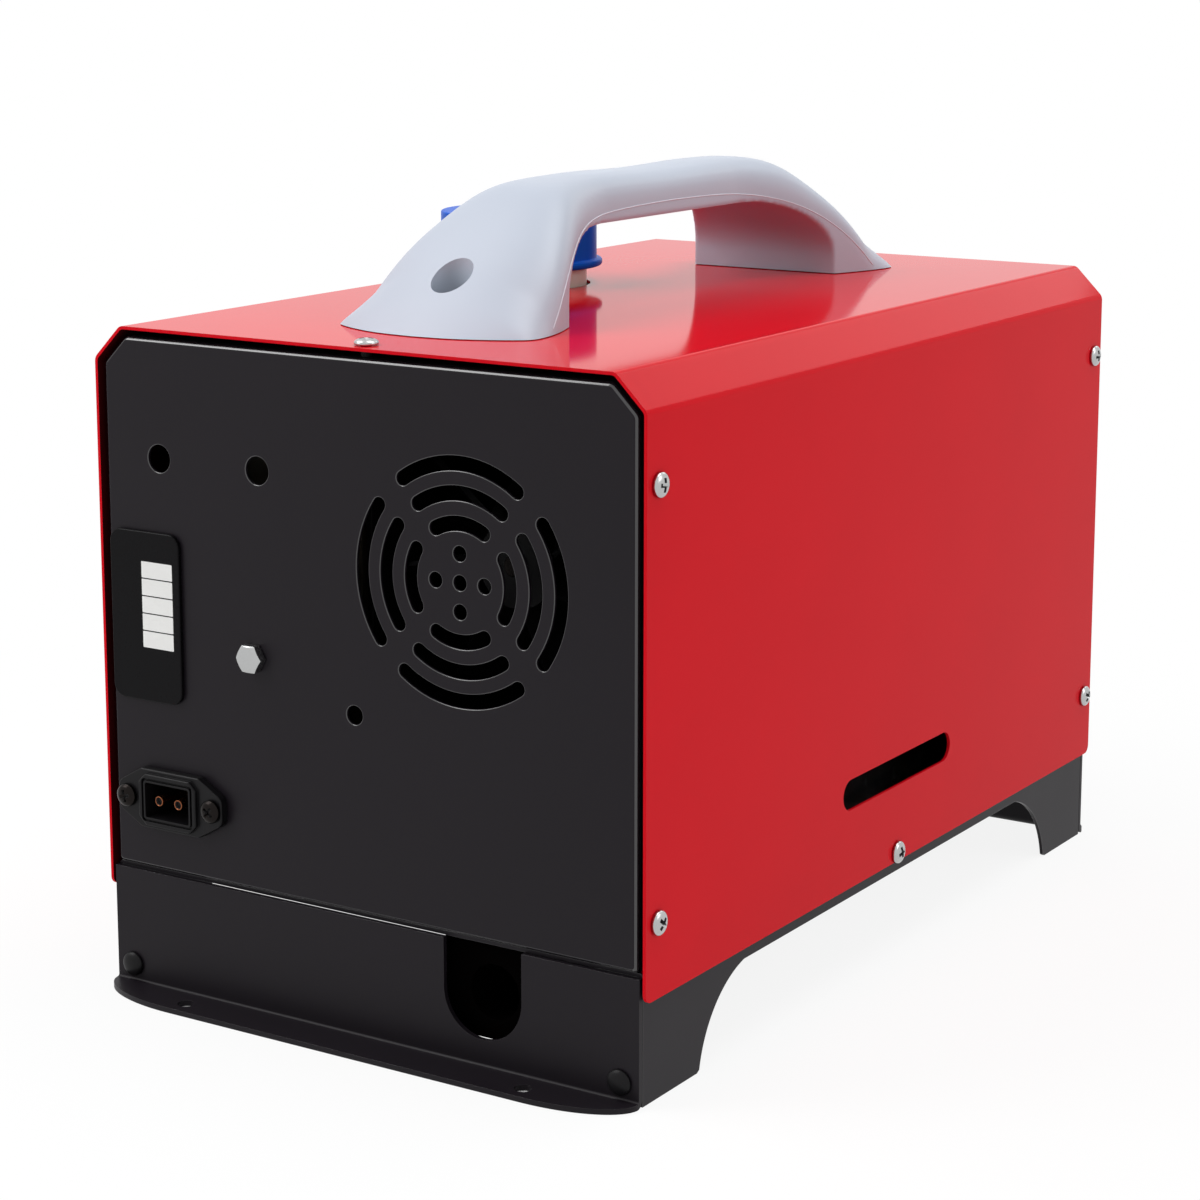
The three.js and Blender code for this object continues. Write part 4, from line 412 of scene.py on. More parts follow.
def lofted(rings, looped=False):
    """A closed solid through rings of points; looped joins the last ring to the first."""
    form = bmesh.new()
    loops = [[form.verts.new(point) for point in ring] for ring in rings]
    for first, second in zip(loops, loops[1:] + loops[:1] if looped else loops[1:]):
        for i in range(len(first)):
            form.faces.new((first[i - 1], first[i], second[i], second[i - 1]))
    if not looped:
        form.faces.new(loops[0])
        form.faces.new(loops[-1])
    bmesh.ops.recalc_face_normals(form, faces=form.faces)
    mesh = bpy.data.meshes.new("solid")
    form.to_mesh(mesh)
    form.free()
    return mesh


def prism(outline, axis, low, high):
    return lofted([[along(axis, u, v, w) for u, v in outline] for w in (low, high)])


def softened(outline_at, axis, low, high, radius, steps=5):
    """A prism whose edge at `low` is rounded off; outline_at gives its outline at an inset."""
    rings = []
    for i in range(steps + 1):
        angle = pi / 2 * i / steps
        inset = radius * (1 - sin(angle))
        depth = radius * (1 - cos(angle)) * (1 if high > low else -1)
        rings.append([along(axis, u, v, low + depth) for u, v in outline_at(inset)])
    rings.append([along(axis, u, v, high) for u, v in outline_at(0)])
    return lofted(rings)


def turned(profile, at, axis, steps=64, looped=False):
    """A profile of (radius, height) pairs turned round a line along the axis through `at`."""
    base = Vector(at)
    rings = []
    for radius, height in profile:
        ring = [along(axis, radius * cos(a), radius * sin(a), height) for a in spokes(steps)]
        rings.append([base + Vector(point) for point in ring])
    return lofted(rings, looped)


def spokes(count):
    return [2 * pi * i / count for i in range(count)]


def joined(meshes):
    form = bmesh.new()
    for mesh in meshes:
        form.from_mesh(mesh)
    whole = bpy.data.meshes.new("joined")
    form.to_mesh(whole)
    form.free()
    return whole


def with_modifiers(mesh, *settings):
    """The mesh after modifiers, each given as its type and a dict of its settings."""
    carrier = bpy.data.objects.new("carrier", mesh)
    bpy.context.scene.collection.objects.link(carrier)
    for kind, values in settings:
        modifier = carrier.modifiers.new(kind.lower(), kind)
        for name, value in values.items():
            setattr(modifier, name, value)
    graph = bpy.context.evaluated_depsgraph_get()
    result = bpy.data.meshes.new_from_object(carrier.evaluated_get(graph), depsgraph=graph)
    bpy.data.objects.remove(carrier)
    return result


def combined(body, operation, tools):
    tool = bpy.data.objects.new("tool", joined(tools))
    bpy.context.scene.collection.objects.link(tool)
    settings = {"operation": operation, "object": tool, "solver": "EXACT"}
    result = with_modifiers(body, ("BOOLEAN", settings))
    bpy.data.objects.remove(tool)
    return result


def cut(body, *tools):
    return combined(body, "DIFFERENCE", tools)


def fused(body, *tools):
    for tool in tools:
        body = combined(body, "UNION", [tool])
    return body


def common(body, tool):
    return combined(body, "INTERSECT", [tool])


# ---------- pieces ----------
WELD_DISTANCE = 1e-6
BEVEL_SEGMENTS = 2
BEVEL_FROM_ANGLE = radians(35)
SEAT_TOLERANCE = 0.01


def smoothing():
    """Geometry nodes that weld a node's faces together and shade them smooth."""
    group = bpy.data.node_groups.new("smooth_shading", "GeometryNodeTree")
    group.interface.new_socket("Geometry", in_out="INPUT", socket_type="NodeSocketGeometry")
    group.interface.new_socket("Geometry", in_out="OUTPUT", socket_type="NodeSocketGeometry")
    start = group.nodes.new("NodeGroupInput")
    weld = group.nodes.new("GeometryNodeMergeByDistance")
    weld.inputs["Distance"].default_value = WELD_DISTANCE
    smooth = group.nodes.new("GeometryNodeSetShadeSmooth")
    end = group.nodes.new("NodeGroupOutput")
    group.links.new(start.outputs[0], weld.inputs[0])
    group.links.new(weld.outputs[0], smooth.inputs[0])
    group.links.new(smooth.outputs[0], end.inputs[0])
    return group


SMOOTHING = smoothing()


def soften_edges(thing, edge_mm):
    """Rounds the sharp edges a little and keeps flat faces flat; a second finish goes on the edges."""
    shade = thing.modifiers.new("shade", "NODES")
    shade.node_group = SMOOTHING
    if edge_mm:
        bevel = thing.modifiers.new("edges", "BEVEL")
        bevel.width = edge_mm * MM
        bevel.segments = BEVEL_SEGMENTS
        bevel.limit_method = "ANGLE"
        bevel.angle_limit = BEVEL_FROM_ANGLE
        bevel.use_clamp_overlap = True
        bevel.miter_outer = "MITER_ARC"
        if BLACK_EDGE.name in thing.data.materials:
            bevel.material = thing.data.materials.find(BLACK_EDGE.name)
    normals = thing.modifiers.new("normals", "WEIGHTED_NORMAL")
    normals.keep_sharp = True


def piece(name, mesh, node, edge_mm=0.2, finish=None, place=None):
    """A piece in millimetres that rides with a node's body and takes its finish."""
    thing = bpy.data.objects.new(name, mesh)
    bpy.context.scene.collection.objects.link(thing)
    for layer in finish or [FINISHES[SLOT_OF[node]]]:
        mesh.materials.append(layer)
    mesh.transform(Matrix.Scale(MM, 4) @ (place or Matrix()))
    if edge_mm is not None:
        soften_edges(thing, edge_mm)
    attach(thing, BODY_OF[node])
    return thing


def stand_in(name, mesh, node, edge_mm=0.2, finish=None, place=None):
    """A piece that is shown in place of the node."""
    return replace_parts(piece(name, mesh, node, edge_mm, finish, place), node)


# ---------- case ----------
SHEET = 1.2
PANEL_SHEET = 1.5
CHAMFER = 12.5
BEND = 3.6
SHELL_CORNER = 3.5
SIDE_SLOT = (0, 75, 91, 12)
FILLER_HOLE_RADIUS = 29.5
INNER_FACE_TURN = -0.42
PANEL_EDGE_RADIUS = 1.7
PANEL_CORNER = 1.2
PANEL_EDGE_TURN = (0.1, 0.97)
BURNER_X = middle("outlet_ring").x
BURNER_Z = middle("outlet_ring").z


def arch_corners(node, inset, bottom, bend):
    """The case's arch in (x, z), set in from the node's own outline."""
    high = corners(node)[1]
    outer_inset = corners("outer_shell")[1].x - high.x
    side, top = high.x - inset, high.z - inset
    run = CHAMFER - (inset + outer_inset) * (2 - sqrt(2))
    return [
        (side, bottom, 0),
        (side, top - run, bend),
        (side - run, top, bend),
        (run - side, top, bend),
        (-side, top - run, bend),
        (-side, bottom, 0),
    ]


def make_shell():
    low, high = corners("outer_shell")
    outer = rounded(arch_corners("outer_shell", 0, low.z, BEND))
    inner = rounded(arch_corners("outer_shell", SHEET, low.z, BEND - SHEET))
    sheet = prism(outer + inner[::-1], "Y", low.y, high.y)
    side_view = rounded([
        (low.y, low.z, SHELL_CORNER),
        (high.y, low.z, SHELL_CORNER),
        (high.y, high.z + 1, 0),
        (low.y, high.z + 1, 0),
    ])
    sheet = common(sheet, prism(side_view, "X", low.x - 1, high.x + 1))
    slot = obround(*SIDE_SLOT)
    neck = middle("fuel_cap")
    sheet = cut(
        sheet,
        prism(slot, "X", low.x - 1, low.x + 5),
        prism(slot, "X", high.x - 5, high.x + 1),
        prism(circle(neck.x, neck.y, FILLER_HOLE_RADIUS, 72), "Z", high.z - 5, high.z + 5),
    )
    # Inner faces of the sheet get the dark red: overspray with painted shade.
    for face in sheet.polygons:
        outward = Vector((face.center.x, 0, face.center.z - low.z)).normalized()
        if face.normal.dot(outward) < INNER_FACE_TURN:
            face.material_index = 1
    stand_in("shell_sheet", sheet, "outer_shell", 0.3, [FINISHES["red_paint"], RED_INSIDE_OVERSPRAY_AND_SHADE])


def panel_tray(node, face, back):
    """A panel with a rounded front edge, which takes its second finish, and hollow behind its face."""
    low = corners(node)[0]
    inward = 1 if back > face else -1

    def outline(inset):
        points = arch_corners(node, inset, low.z + inset, max(0.5, BEND - inset))
        points[0] = (*points[0][:2], PANEL_CORNER)
        points[-1] = (*points[-1][:2], PANEL_CORNER)
        return rounded(points)

    tray = softened(outline, "Y", face, back, PANEL_EDGE_RADIUS)
    least_turn, most_turn = PANEL_EDGE_TURN
    for side in tray.polygons:
        if least_turn < abs(side.normal.y) < most_turn:
            side.material_index = 1
    hollow = prism(outline(PANEL_SHEET), "Y", *sorted((face + inward * PANEL_SHEET, back + inward)))
    return cut(tray, hollow)


# Each ring of the grille: its radius and half the angle of its four slots.
GRILLE_RINGS = [(41.9, 35), (31.5, 34), (20.9, 29)]
GRILLE_SLOT = 5.2
GRILLE_DOTS = [(0, 0), (1, 0), (0, 1), (-1, 0), (0, -1)]
DOT_SPACING = 10.3
DOT_RADIUS = 2.75
# Round holes of the rear panel: x, z, radius and how many points its circle has.
ROUND_HOLES = [(-90.7, 206, 5.2, 40), (-44.7, 206, 5.2, 40), (-2.4, 121.7, 3.5, 32)]
BOLT_HOLE_RADIUS = 3.3
INLET_OPENING = (28.2, 20.6)
OUTLET_HOLE_RADIUS = 44.3
CONTROL_OPENING = (68.6, 48.6, 2.3)


def arc_slot(radius, middle_angle, half_angle):
    first, last = middle_angle - half_angle, middle_angle + half_angle
    outer, inner = radius + GRILLE_SLOT / 2, radius - GRILLE_SLOT / 2
    points = arc(BURNER_X, BURNER_Z, outer, first, last, 20)[1:-1]
    for angle, start in ((last, last), (first, first + pi)):
        x, z = BURNER_X + radius * cos(angle), BURNER_Z + radius * sin(angle)
        points += arc(x, z, GRILLE_SLOT / 2, start, start + pi, 10)
        if start == last:
            points += arc(BURNER_X, BURNER_Z, inner, last, first, 20)[1:-1]
    return points


def make_rear_panel():
    low, high = corners("rear_panel")
    tray = panel_tray("rear_panel", low.y, high.y)
    inlet = middle("inlet_body")
    bolt = middle("tank_bolt")
    holes = []
    for radius, half_angle in GRILLE_RINGS:
        holes += [arc_slot(radius, quarter * pi / 2, radians(half_angle)) for quarter in range(4)]
    for x, z in GRILLE_DOTS:
        holes.append(circle(BURNER_X + x * DOT_SPACING, BURNER_Z + z * DOT_SPACING, DOT_RADIUS, 24))
    holes += [circle(*hole) for hole in ROUND_HOLES]
    holes.append(circle(bolt.x, bolt.z, BOLT_HOLE_RADIUS, 24))
    holes.append(rectangle(inlet.x, inlet.z, *INLET_OPENING))
    tray = cut(tray, *[prism(hole, "Y", low.y - 1, low.y + PANEL_SHEET + 1) for hole in holes])
    stand_in("rear_panel_sheet", tray, "rear_panel", 0.35, BLACK_SHEET)


def make_front_panel():
    low, high = corners("front_panel")
    tray = panel_tray("front_panel", high.y, low.y)
    control = middle("control_case")
    outlet = circle(BURNER_X, BURNER_Z, OUTLET_HOLE_RADIUS, 96)
    opening = rectangle(control.x, control.z, *CONTROL_OPENING)
    depth = (high.y - PANEL_SHEET - 1, high.y + 1)
    tray = cut(tray, prism(outlet, "Y", *depth), prism(opening, "Y", *depth))
    stand_in("front_panel_sheet", tray, "front_panel", 0.35, BLACK_SHEET)


LEG_LENGTH = 40.2
LEG_ARCH_RADIUS = 40.6
LEG_ARCH_DROP = 7.2
LEG_ARCH_TOP = 32.5
BASE_SHEET = 1.5
TAB_REACH = 18
TAB_HEIGHTS = (3, 22)
TAB_CORNER = 2.0
EXHAUST_HOLE_RADIUS = 14.5
EXHAUST_HOLE_INSET = 12
INTAKE_HOLE_RADIUS = 12.5


def leg_arch(half_length):
    """The gap between the legs of one side, in (y, z), with the toes rounded off."""
    reach = acos((LEG_ARCH_TOP + LEG_ARCH_DROP) / LEG_ARCH_RADIUS)
    floor = asin(LEG_ARCH_DROP / LEG_ARCH_RADIUS)
    foot = half_length - LEG_LENGTH
    centre = foot - LEG_ARCH_RADIUS * cos(floor)
    far = arc(centre, -LEG_ARCH_DROP, LEG_ARCH_RADIUS, floor + 0.02, pi / 2 - reach, 28)
    toe = [(foot + 3, -1), (foot + 1.4, 0), (foot + 0.4, 0.6)]
    half = toe + far
    return half + [(-y, z) for y, z in half[::-1]]


def make_base():
    low, high = corners("base_frame")
    inner = high.x - BASE_SHEET
    underside = high.z - BASE_SHEET
    profile = rounded([
        (low.x, 0, 0),
        (-inner, 0, 0),
        (-inner, underside, 0),
        (inner, underside, 0),
        (inner, 0, 0),
        (high.x, 0, 0),
        (high.x, high.z, BASE_SHEET),
        (low.x, high.z, BASE_SHEET),
    ])
    base = prism(profile, "Y", low.y, high.y)
    tabs = []
    for side in (-1, 1):
        for end in (-1, 1):
            x = sorted((side * (inner + BASE_SHEET / 2), side * (inner - TAB_REACH)))
            y = sorted((end * high.y, end * (high.y - BASE_SHEET)))
            tabs.append(prism(rectangle_between(x, TAB_HEIGHTS, TAB_CORNER), "Y", *y))
    base = fused(base, *tabs)
    exhaust, intake = middle("exhaust_pipe"), middle("intake_stub")
    exhaust_y = corners("exhaust_pipe")[1].y - EXHAUST_HOLE_INSET
    shell_end = corners("outer_shell")[1].y
    holes = [
        prism(circle(exhaust.x, exhaust_y, EXHAUST_HOLE_RADIUS), "Z", high.z - 5, high.z + 5),
        prism(circle(intake.x, intake.y, INTAKE_HOLE_RADIUS), "Z", high.z - 5, high.z + 5),
        prism(leg_arch(shell_end), "X", low.x - 1, high.x + 1),
    ]
    stand_in("base_sheet", cut(base, *holes), "base_frame", 0.35, BLACK_SHEET)


APRON_SHEET = 2.0
APRON_BEND = 3.0
FLANGE_SWEEP = 38
FLOOR_HOLE_X = 76
FLOOR_HOLE_OUT = 9.5
FLOOR_HOLE_RADIUS = 3.25
EXHAUST_SLOT_RADIUS = 16.6
EXHAUST_SLOT_BOTTOM = 11.6


def make_apron(end, node, slotted):
    """The upright end plate, bent out at the floor into a flange with swept ends; end is -1 or 1."""
    low, high = corners(node)
    face = corners("outer_shell")[1].y
    reach = max(abs(low.y), abs(high.y))
    back = face - APRON_SHEET
    profile = [
        (end * back, high.z, 0),
        (end * back, 0, APRON_BEND),
        (end * reach, 0, 0),
        (end * reach, APRON_SHEET, 0),
        (end * face, APRON_SHEET, APRON_BEND - APRON_SHEET),
        (end * face, high.z, 0),
    ]
    bar = prism(rounded(profile), "X", low.x, high.x)
    corner = high.x - FLANGE_SWEEP
    sweep = [(corner + FLANGE_SWEEP * x, face + (reach - face) * y) for x, y in arc(0, 0, 1, 0, pi / 2, 32)]
    plan = [(low.x, 0), (high.x, 0), *sweep, *[(-x, y) for x, y in sweep[::-1]]]
    bar = common(bar, prism([(x, end * y) for x, y in plan], "Z", -1, high.z + 1))
    holes = []
    for x in (-FLOOR_HOLE_X, FLOOR_HOLE_X):
        hole = circle(x, end * (face + FLOOR_HOLE_OUT), FLOOR_HOLE_RADIUS, 32)
        holes.append(prism(hole, "Z", -1, APRON_SHEET + 1))
    if slotted:
        radius = EXHAUST_SLOT_RADIUS
        x, z = middle("exhaust_pipe").x, EXHAUST_SLOT_BOTTOM + radius
        slot = arc(x, z, radius, pi, 2 * pi, 40) + [(x + radius, high.z + 1), (x - radius, high.z + 1)]
        holes.append(prism(slot, "Y", -face - 1, -back + 1))
    stand_in(node + "_sheet", cut(bar, *holes), node, 0.45, BLACK_SHEET)


# ---------- label ----------
LABEL_CORNER = 5
LABEL_ROWS = 5
CELL_HEIGHT = 6.62
CELL_GAP = 0.45
CELL_CORNER = 0.3
CELL_INK = 0.06
CELL_LEFT_MARGIN = 15.2
CELL_RIGHT_MARGIN = 3.2
CELL_TOP_MARGIN = 11.0


def make_label():
    low, high = corners("rating_plate")
    centre = (low + high) / 2
    outline = shrinking_rectangle(centre.x, centre.z, high.x - low.x, high.z - low.z, LABEL_CORNER)
    stand_in("label_plate", softened(outline, "Y", low.y, high.y, 0.5), "rating_plate", 0.1)
    left, right = low.x + CELL_LEFT_MARGIN, high.x - CELL_RIGHT_MARGIN
    top = high.z - CELL_TOP_MARGIN
    cells = []
    for row in range(LABEL_ROWS):
        z = top - (row + 0.5) * CELL_HEIGHT
        cell = rectangle((left + right) / 2, z, right - left, CELL_HEIGHT - CELL_GAP, CELL_CORNER)
        cells.append(prism(cell, "Y", low.y - CELL_INK, low.y + 0.2))
    piece("label_cells", joined(cells), "rating_plate", None, [PRINTED_WHITE])


# ---------- fasteners ----------
PAN_HEAD_RADIUS = 4.4
PAN_HEAD_HEIGHT = 2.3
SHANK_RADIUS = 2
SHANK_LENGTH = 7.5
PLUG_RADIUS = 4.7
PLUG_HEIGHT = 2.1
HANDLE_HEAD_HEIGHT = 3.5
HEAD_SINK = 0.15
HEAD_TURN = 0.7
BOLT_ACROSS_FLATS = 10


def dome(radius, height, edge, steps=8):
    """The crown of a pan head as (radius, height) pairs, from its edge up to its middle."""
    angles = [pi / 2 * i / steps for i in range(steps)]
    crown = [(radius * cos(a), edge + (height - edge) * sin(a)) for a in angles]
    return [(radius, 0), *crown, (0.15, height)]


def cross_recess(size, depth, top):
    """The hole that a cross-head driver fits, narrower at its bottom."""
    arm, half = size / 2, size * 0.14

    def plus(scale, z):
        a, h = arm * scale, half * (0.55 + 0.45 * scale)
        right_and_top = [(a, -h), (a, h), (h, h), (h, a), (-h, a), (-h, h)]
        left_and_bottom = [(-x, -y) for x, y in right_and_top]
        return [(x, y, z) for x, y in right_and_top + left_and_bottom]

    return lofted([plus(0.45, top - depth), plus(1, top - depth * 0.15), plus(1.05, top + 1)])


def pan_head(radius, height, shank, length, recess):
    """A pan-head screw on +Z with its seat at the origin; its shank and its recess take a dark finish as
    painted shade.
    """
    profile = [(shank, -length), (shank, 0), *dome(radius, height, height * 0.28)]
    screw = cut(turned(profile, (0, 0, 0), "Z", 48), cross_recess(recess, height * 0.8, height))
    for face in screw.polygons:
        x, y, z = face.center
        in_recess = hypot(x, y) < recess / 2 and (face.normal.z < 0.5 or z < height / 2)
        # The shank below the seat and the faces in the recess get painted shade.
        if z < -SEAT_TOLERANCE or in_recess:
            face.material_index = 1
    return screw


def facing(direction, at, turn=0.0):
    """A place at `at` with its own +Z along the direction, turned about it."""
    rotation = Vector(direction).to_track_quat("Z", "Y").to_matrix().to_4x4()
    return Matrix.Translation(at) @ rotation @ Matrix.Rotation(turn, 4, "Z")


def outer_end(node, direction):
    """The outer end of a screw node, on its own axis."""
    low, high = corners(node)
    at = (low + high) / 2
    axis = max(range(3), key=lambda i: abs(direction[i]))
    at[axis] = high[axis] if direction[axis] > 0 else low[axis]
    return at


def make_screws():
    zinc = pan_head(PAN_HEAD_RADIUS, PAN_HEAD_HEIGHT, SHANK_RADIUS, SHANK_LENGTH, 5.0)
    black = pan_head(PAN_HEAD_RADIUS, PAN_HEAD_HEIGHT, SHANK_RADIUS, SHANK_LENGTH, 4.6)
    plug_profile = [(2.4, -5.2), (2.4, 0), *dome(PLUG_RADIUS, PLUG_HEIGHT, 0.5)]
    plug = turned(plug_profile, (0, 0, 0), "Z", 48)
    top = HANDLE_HEAD_HEIGHT
    socket_head = [(3, -18), (3, 0), (5.6, 0), (5.6, 3.0), (5.2, top), (2.9, top), (2.9, 1.2), (0.2, 1.2)]
    handle_head = turned(socket_head, (0, 0, 0), "Z", 48)
    for turn, node in enumerate(sorted(SLOT_OF)):
        if node.startswith("screw_"):
            direction = (0, 0, 1) if "top" in node else (1 if "right" in node else -1, 0, 0)
            mesh, height = zinc, PAN_HEAD_HEIGHT
        elif node.startswith("inlet_screw"):
            direction, mesh, height = (0, -1, 0), black, PAN_HEAD_HEIGHT
        elif node.startswith("apron_plug"):
            direction, mesh, height = (0, 1 if "front" in node else -1, 0), plug, PLUG_HEIGHT
        elif node.startswith("handle_screw"):
            direction, mesh, height = (0, 0, 1), handle_head, HANDLE_HEAD_HEIGHT
        else:
            continue
        seat = outer_end(node, direction) - Vector(direction) * (height + HEAD_SINK)
        finish = [FINISHES[SLOT_OF[node]], PAINTED_SHADE_IN_RECESS]
        place = facing(direction, seat, turn * HEAD_TURN)
        stand_in(node + "_turned", mesh.copy(), node, 0.08, finish, place)


def make_tank_bolt():
    low, high = corners("tank_bolt")
    x, z = (low.x + high.x) / 2, (low.z + high.z) / 2
    corner = BOLT_ACROSS_FLATS / sqrt(3)
    head = prism(circle(x, z, corner, 6), "Y", low.y, low.y + 4)
    chamfer = turned([(4.2, 0), (5.9, 0.9), (5.9, 5)], (x, low.y, z), "Y", 48)
    head = common(head, chamfer)
    shank = prism(circle(x, z, 3, 32), "Y", low.y + 3, high.y)
    stand_in("tank_bolt_forged", fused(head, shank), "tank_bolt", 0.15)


# ---------- carrying handle ----------
HANDLE_NOSE = 14.5
HANDLE_SLOPE = 0.727
HANDLE_DIP = 0.9
FOOT_LENGTH = 52.5
FOOT_WALL_HEIGHT = 7.7
GRIP_HALF_WIDTH = 17
GRIP_CLEARANCE = 32.7
GRIP_PARTING = 37.7
GRIP_TAPER_END = 108
HANDLE_HALF_WIDTH = 44
ARCH_REACH = 48
TIP_ROUNDNESS = 1.8
FOOT_ROUNDNESS = 2.6
GRIP_ROUNDNESS = 3.2
HANDLE_RISE = 51.2
HANDLE_DEPTH = 6
UNDER_TIP = 23.5
VOXEL = 1.1
HANDLE_RINGS = 70
SCREW_BORE_RADIUS = 7.8
SCREW_HOLE_RADIUS = 3.3
SCREW_SEAT_HEIGHT = 8
PARTING_START = 31
PARTING_STEPS = 80
PARTING_RADIUS = 0.22


def soft_min(a, b, blend):
    return (a + b - hypot(a - b, blend)) / 2


def smooth_step(t):
    t = max(0, min(1, t))
    return t * t * (3 - 2 * t)


def handle_section(s, half_length):
    """Half-width, parting-line height and crest height at a distance s from the tip of a foot."""
    nose = HANDLE_HALF_WIDTH * sqrt(max(0, s) / HANDLE_NOSE)
    narrowing = smooth_step((s - HANDLE_NOSE) / (GRIP_TAPER_END - HANDLE_NOSE))
    waist = HANDLE_HALF_WIDTH + (GRIP_HALF_WIDTH - HANDLE_HALF_WIDTH) * narrowing
    dip = HANDLE_DIP * smooth_step((s - GRIP_TAPER_END) / (half_length - GRIP_TAPER_END))
    climb = max(0, s - 2 * HANDLE_NOSE) / (2 * (FOOT_LENGTH - 2 * HANDLE_NOSE))
    return (
        soft_min(nose, waist, 4),
        GRIP_PARTING * tanh(climb * 1.17),
        soft_min(HANDLE_SLOPE * s, HANDLE_RISE, 7) - dip,
    )


def handle_roundness(s):
    """How square the cross-section is: lens-like at the tip and boxy at the grip."""
    squarer = smooth_step(s / FOOT_LENGTH)
    boxy = smooth_step((s - FOOT_LENGTH) / (GRIP_TAPER_END - FOOT_LENGTH))
    foot = TIP_ROUNDNESS + (FOOT_ROUNDNESS - TIP_ROUNDNESS) * squarer
    return foot + (GRIP_ROUNDNESS - FOOT_ROUNDNESS) * boxy


def handle_ring(s, y, half_length, base, steps=40):
    """One cross-section, which runs on below the base so that the cut there leaves a crisp edge."""
    half_width, parting, crest = handle_section(s, half_length)
    power = handle_roundness(s)
    spring = parting - HANDLE_DEPTH * (1 - smooth_step((s - HANDLE_NOSE) / (FOOT_LENGTH - HANDLE_NOSE)))
    if s <= 0:
        under = UNDER_TIP * sqrt(1 + HANDLE_SLOPE * s / HANDLE_DEPTH)
    else:
        share = max(0, -spring) / (crest - spring)
        under = half_width / (1 - share**power) ** (1 / power)
    ring = [(under, y, base - HANDLE_DEPTH - 1)]
    for k in range(steps + 1):
        angle = pi * k / steps
        across, up = cos(angle), max(0, sin(angle))
        x = under * (abs(across) ** (2 / power)) * (1 if across > 0 else -1)
        ring.append((x, y, base + spring + max(0.2, crest - spring) * up ** (2 / power)))
    ring.append((-under, y, base - HANDLE_DEPTH - 1))
    return ring


def make_handle():
    low, high = corners("carry_handle")
    base = low.z
    half_length = high.y + 0.4
    tip = 0.3 - HANDLE_DEPTH / HANDLE_SLOPE
    shares = [(i / HANDLE_RINGS) ** 1.4 for i in range(HANDLE_RINGS + 1)]
    reaches = [tip + (half_length - tip) * share for share in shares]
    rear = [handle_ring(s, s - half_length, half_length, base) for s in reaches]
    front = [handle_ring(s, half_length - s, half_length, base) for s in reaches[:-1]][::-1]
    wall = half_length - FOOT_LENGTH
    spring, rise = base + FOOT_WALL_HEIGHT, GRIP_CLEARANCE - FOOT_WALL_HEIGHT
    turn = arc(0, 0, 1, 0, pi / 2, 32)
    quarter = [(wall - ARCH_REACH + ARCH_REACH * y, spring + rise * z) for y, z in turn]
    deep = base - 2 * HANDLE_DEPTH
    opening = [(-wall, deep), (wall, deep), *quarter, *[(-y, z) for y, z in quarter[::-1]]]
    body = cut(lofted(rear + front), prism(opening, "X", -HANDLE_HALF_WIDTH - 1, HANDLE_HALF_WIDTH + 1))
    remesh = ("REMESH", {"mode": "VOXEL", "voxel_size": VOXEL})
    smooth = ("SMOOTH", {"factor": 0.5, "iterations": 4})
    body = with_modifiers(body, remesh, smooth)
    underfoot = rectangle(0, 0, 3 * HANDLE_HALF_WIDTH, 3 * half_length)
    body = cut(body, prism(underfoot, "Z", deep, base))
    for end in (-1, 1):
        y = end * middle("handle_screw_front").y
        bore = prism(circle(0, y, SCREW_BORE_RADIUS, 64), "Z", base + SCREW_SEAT_HEIGHT, high.z + 5)
        hole = prism(circle(0, y, SCREW_HOLE_RADIUS, 32), "Z", base - 5, base + (SCREW_SEAT_HEIGHT + 1))
        body = cut(body, bore, hole)
    points = [vertex.co for vertex in body.vertices]
    surface = BVHTree.FromPolygons(points, [tuple(face.vertices) for face in body.polygons])
    shade_by_angle(stand_in("handle_moulding", body, "carry_handle", None), 40)
    make_parting_line(surface, half_length, base)


def shade_by_angle(thing, degrees):
    thing.data.shade_smooth()
    thing.data.set_sharp_from_angle(angle=radians(degrees))


def make_parting_line(surface, half_length, base):
    """The fine ridge where the two halves of the handle's mould met, laid along the finished surface, in a
    paler grey as a painted highlight.
    """
    sides = []
    for side in (-1, 1):
        line = []
        for i in range(2 * PARTING_STEPS + 1):
            y = (half_length - PARTING_START) * (i / PARTING_STEPS - 1)
            half_width, parting, _ = handle_section(half_length - abs(y), half_length)
            beside = Vector((side * (half_width + 1), y, base + parting + 0.5))
            line.append(surface.find_nearest(beside)[0])
        sides.append(bead(line, PARTING_RADIUS))
    piece("handle_parting_line", joined(sides), "carry_handle", None, [PARTING_LINE_PAINTED_HIGHLIGHT])


def bead(line, radius, sides=8):
    """A thin round bead along a line of points."""
    rings = []
    for i, point in enumerate(line):
        ahead = (line[min(i + 1, len(line) - 1)] - line[max(i - 1, 0)]).normalized()
        across = ahead.cross(Vector((1, 0, 0))).normalized()
        up = across.cross(ahead)
        rings.append([point + (across * cos(a) + up * sin(a)) * radius for a in spokes(sides)])
    return lofted(rings)


# ---------- fuel tank and cap ----------
CAP_INNER_RADIUS = 28.5
CAP_RADIUS = 32.0
CAP_RIM_RADIUS = 34.3
CAP_GRIP = (42, 7, 3)
NECK_INNER_RADIUS = 24.6
NECK_RADIUS = 27.9


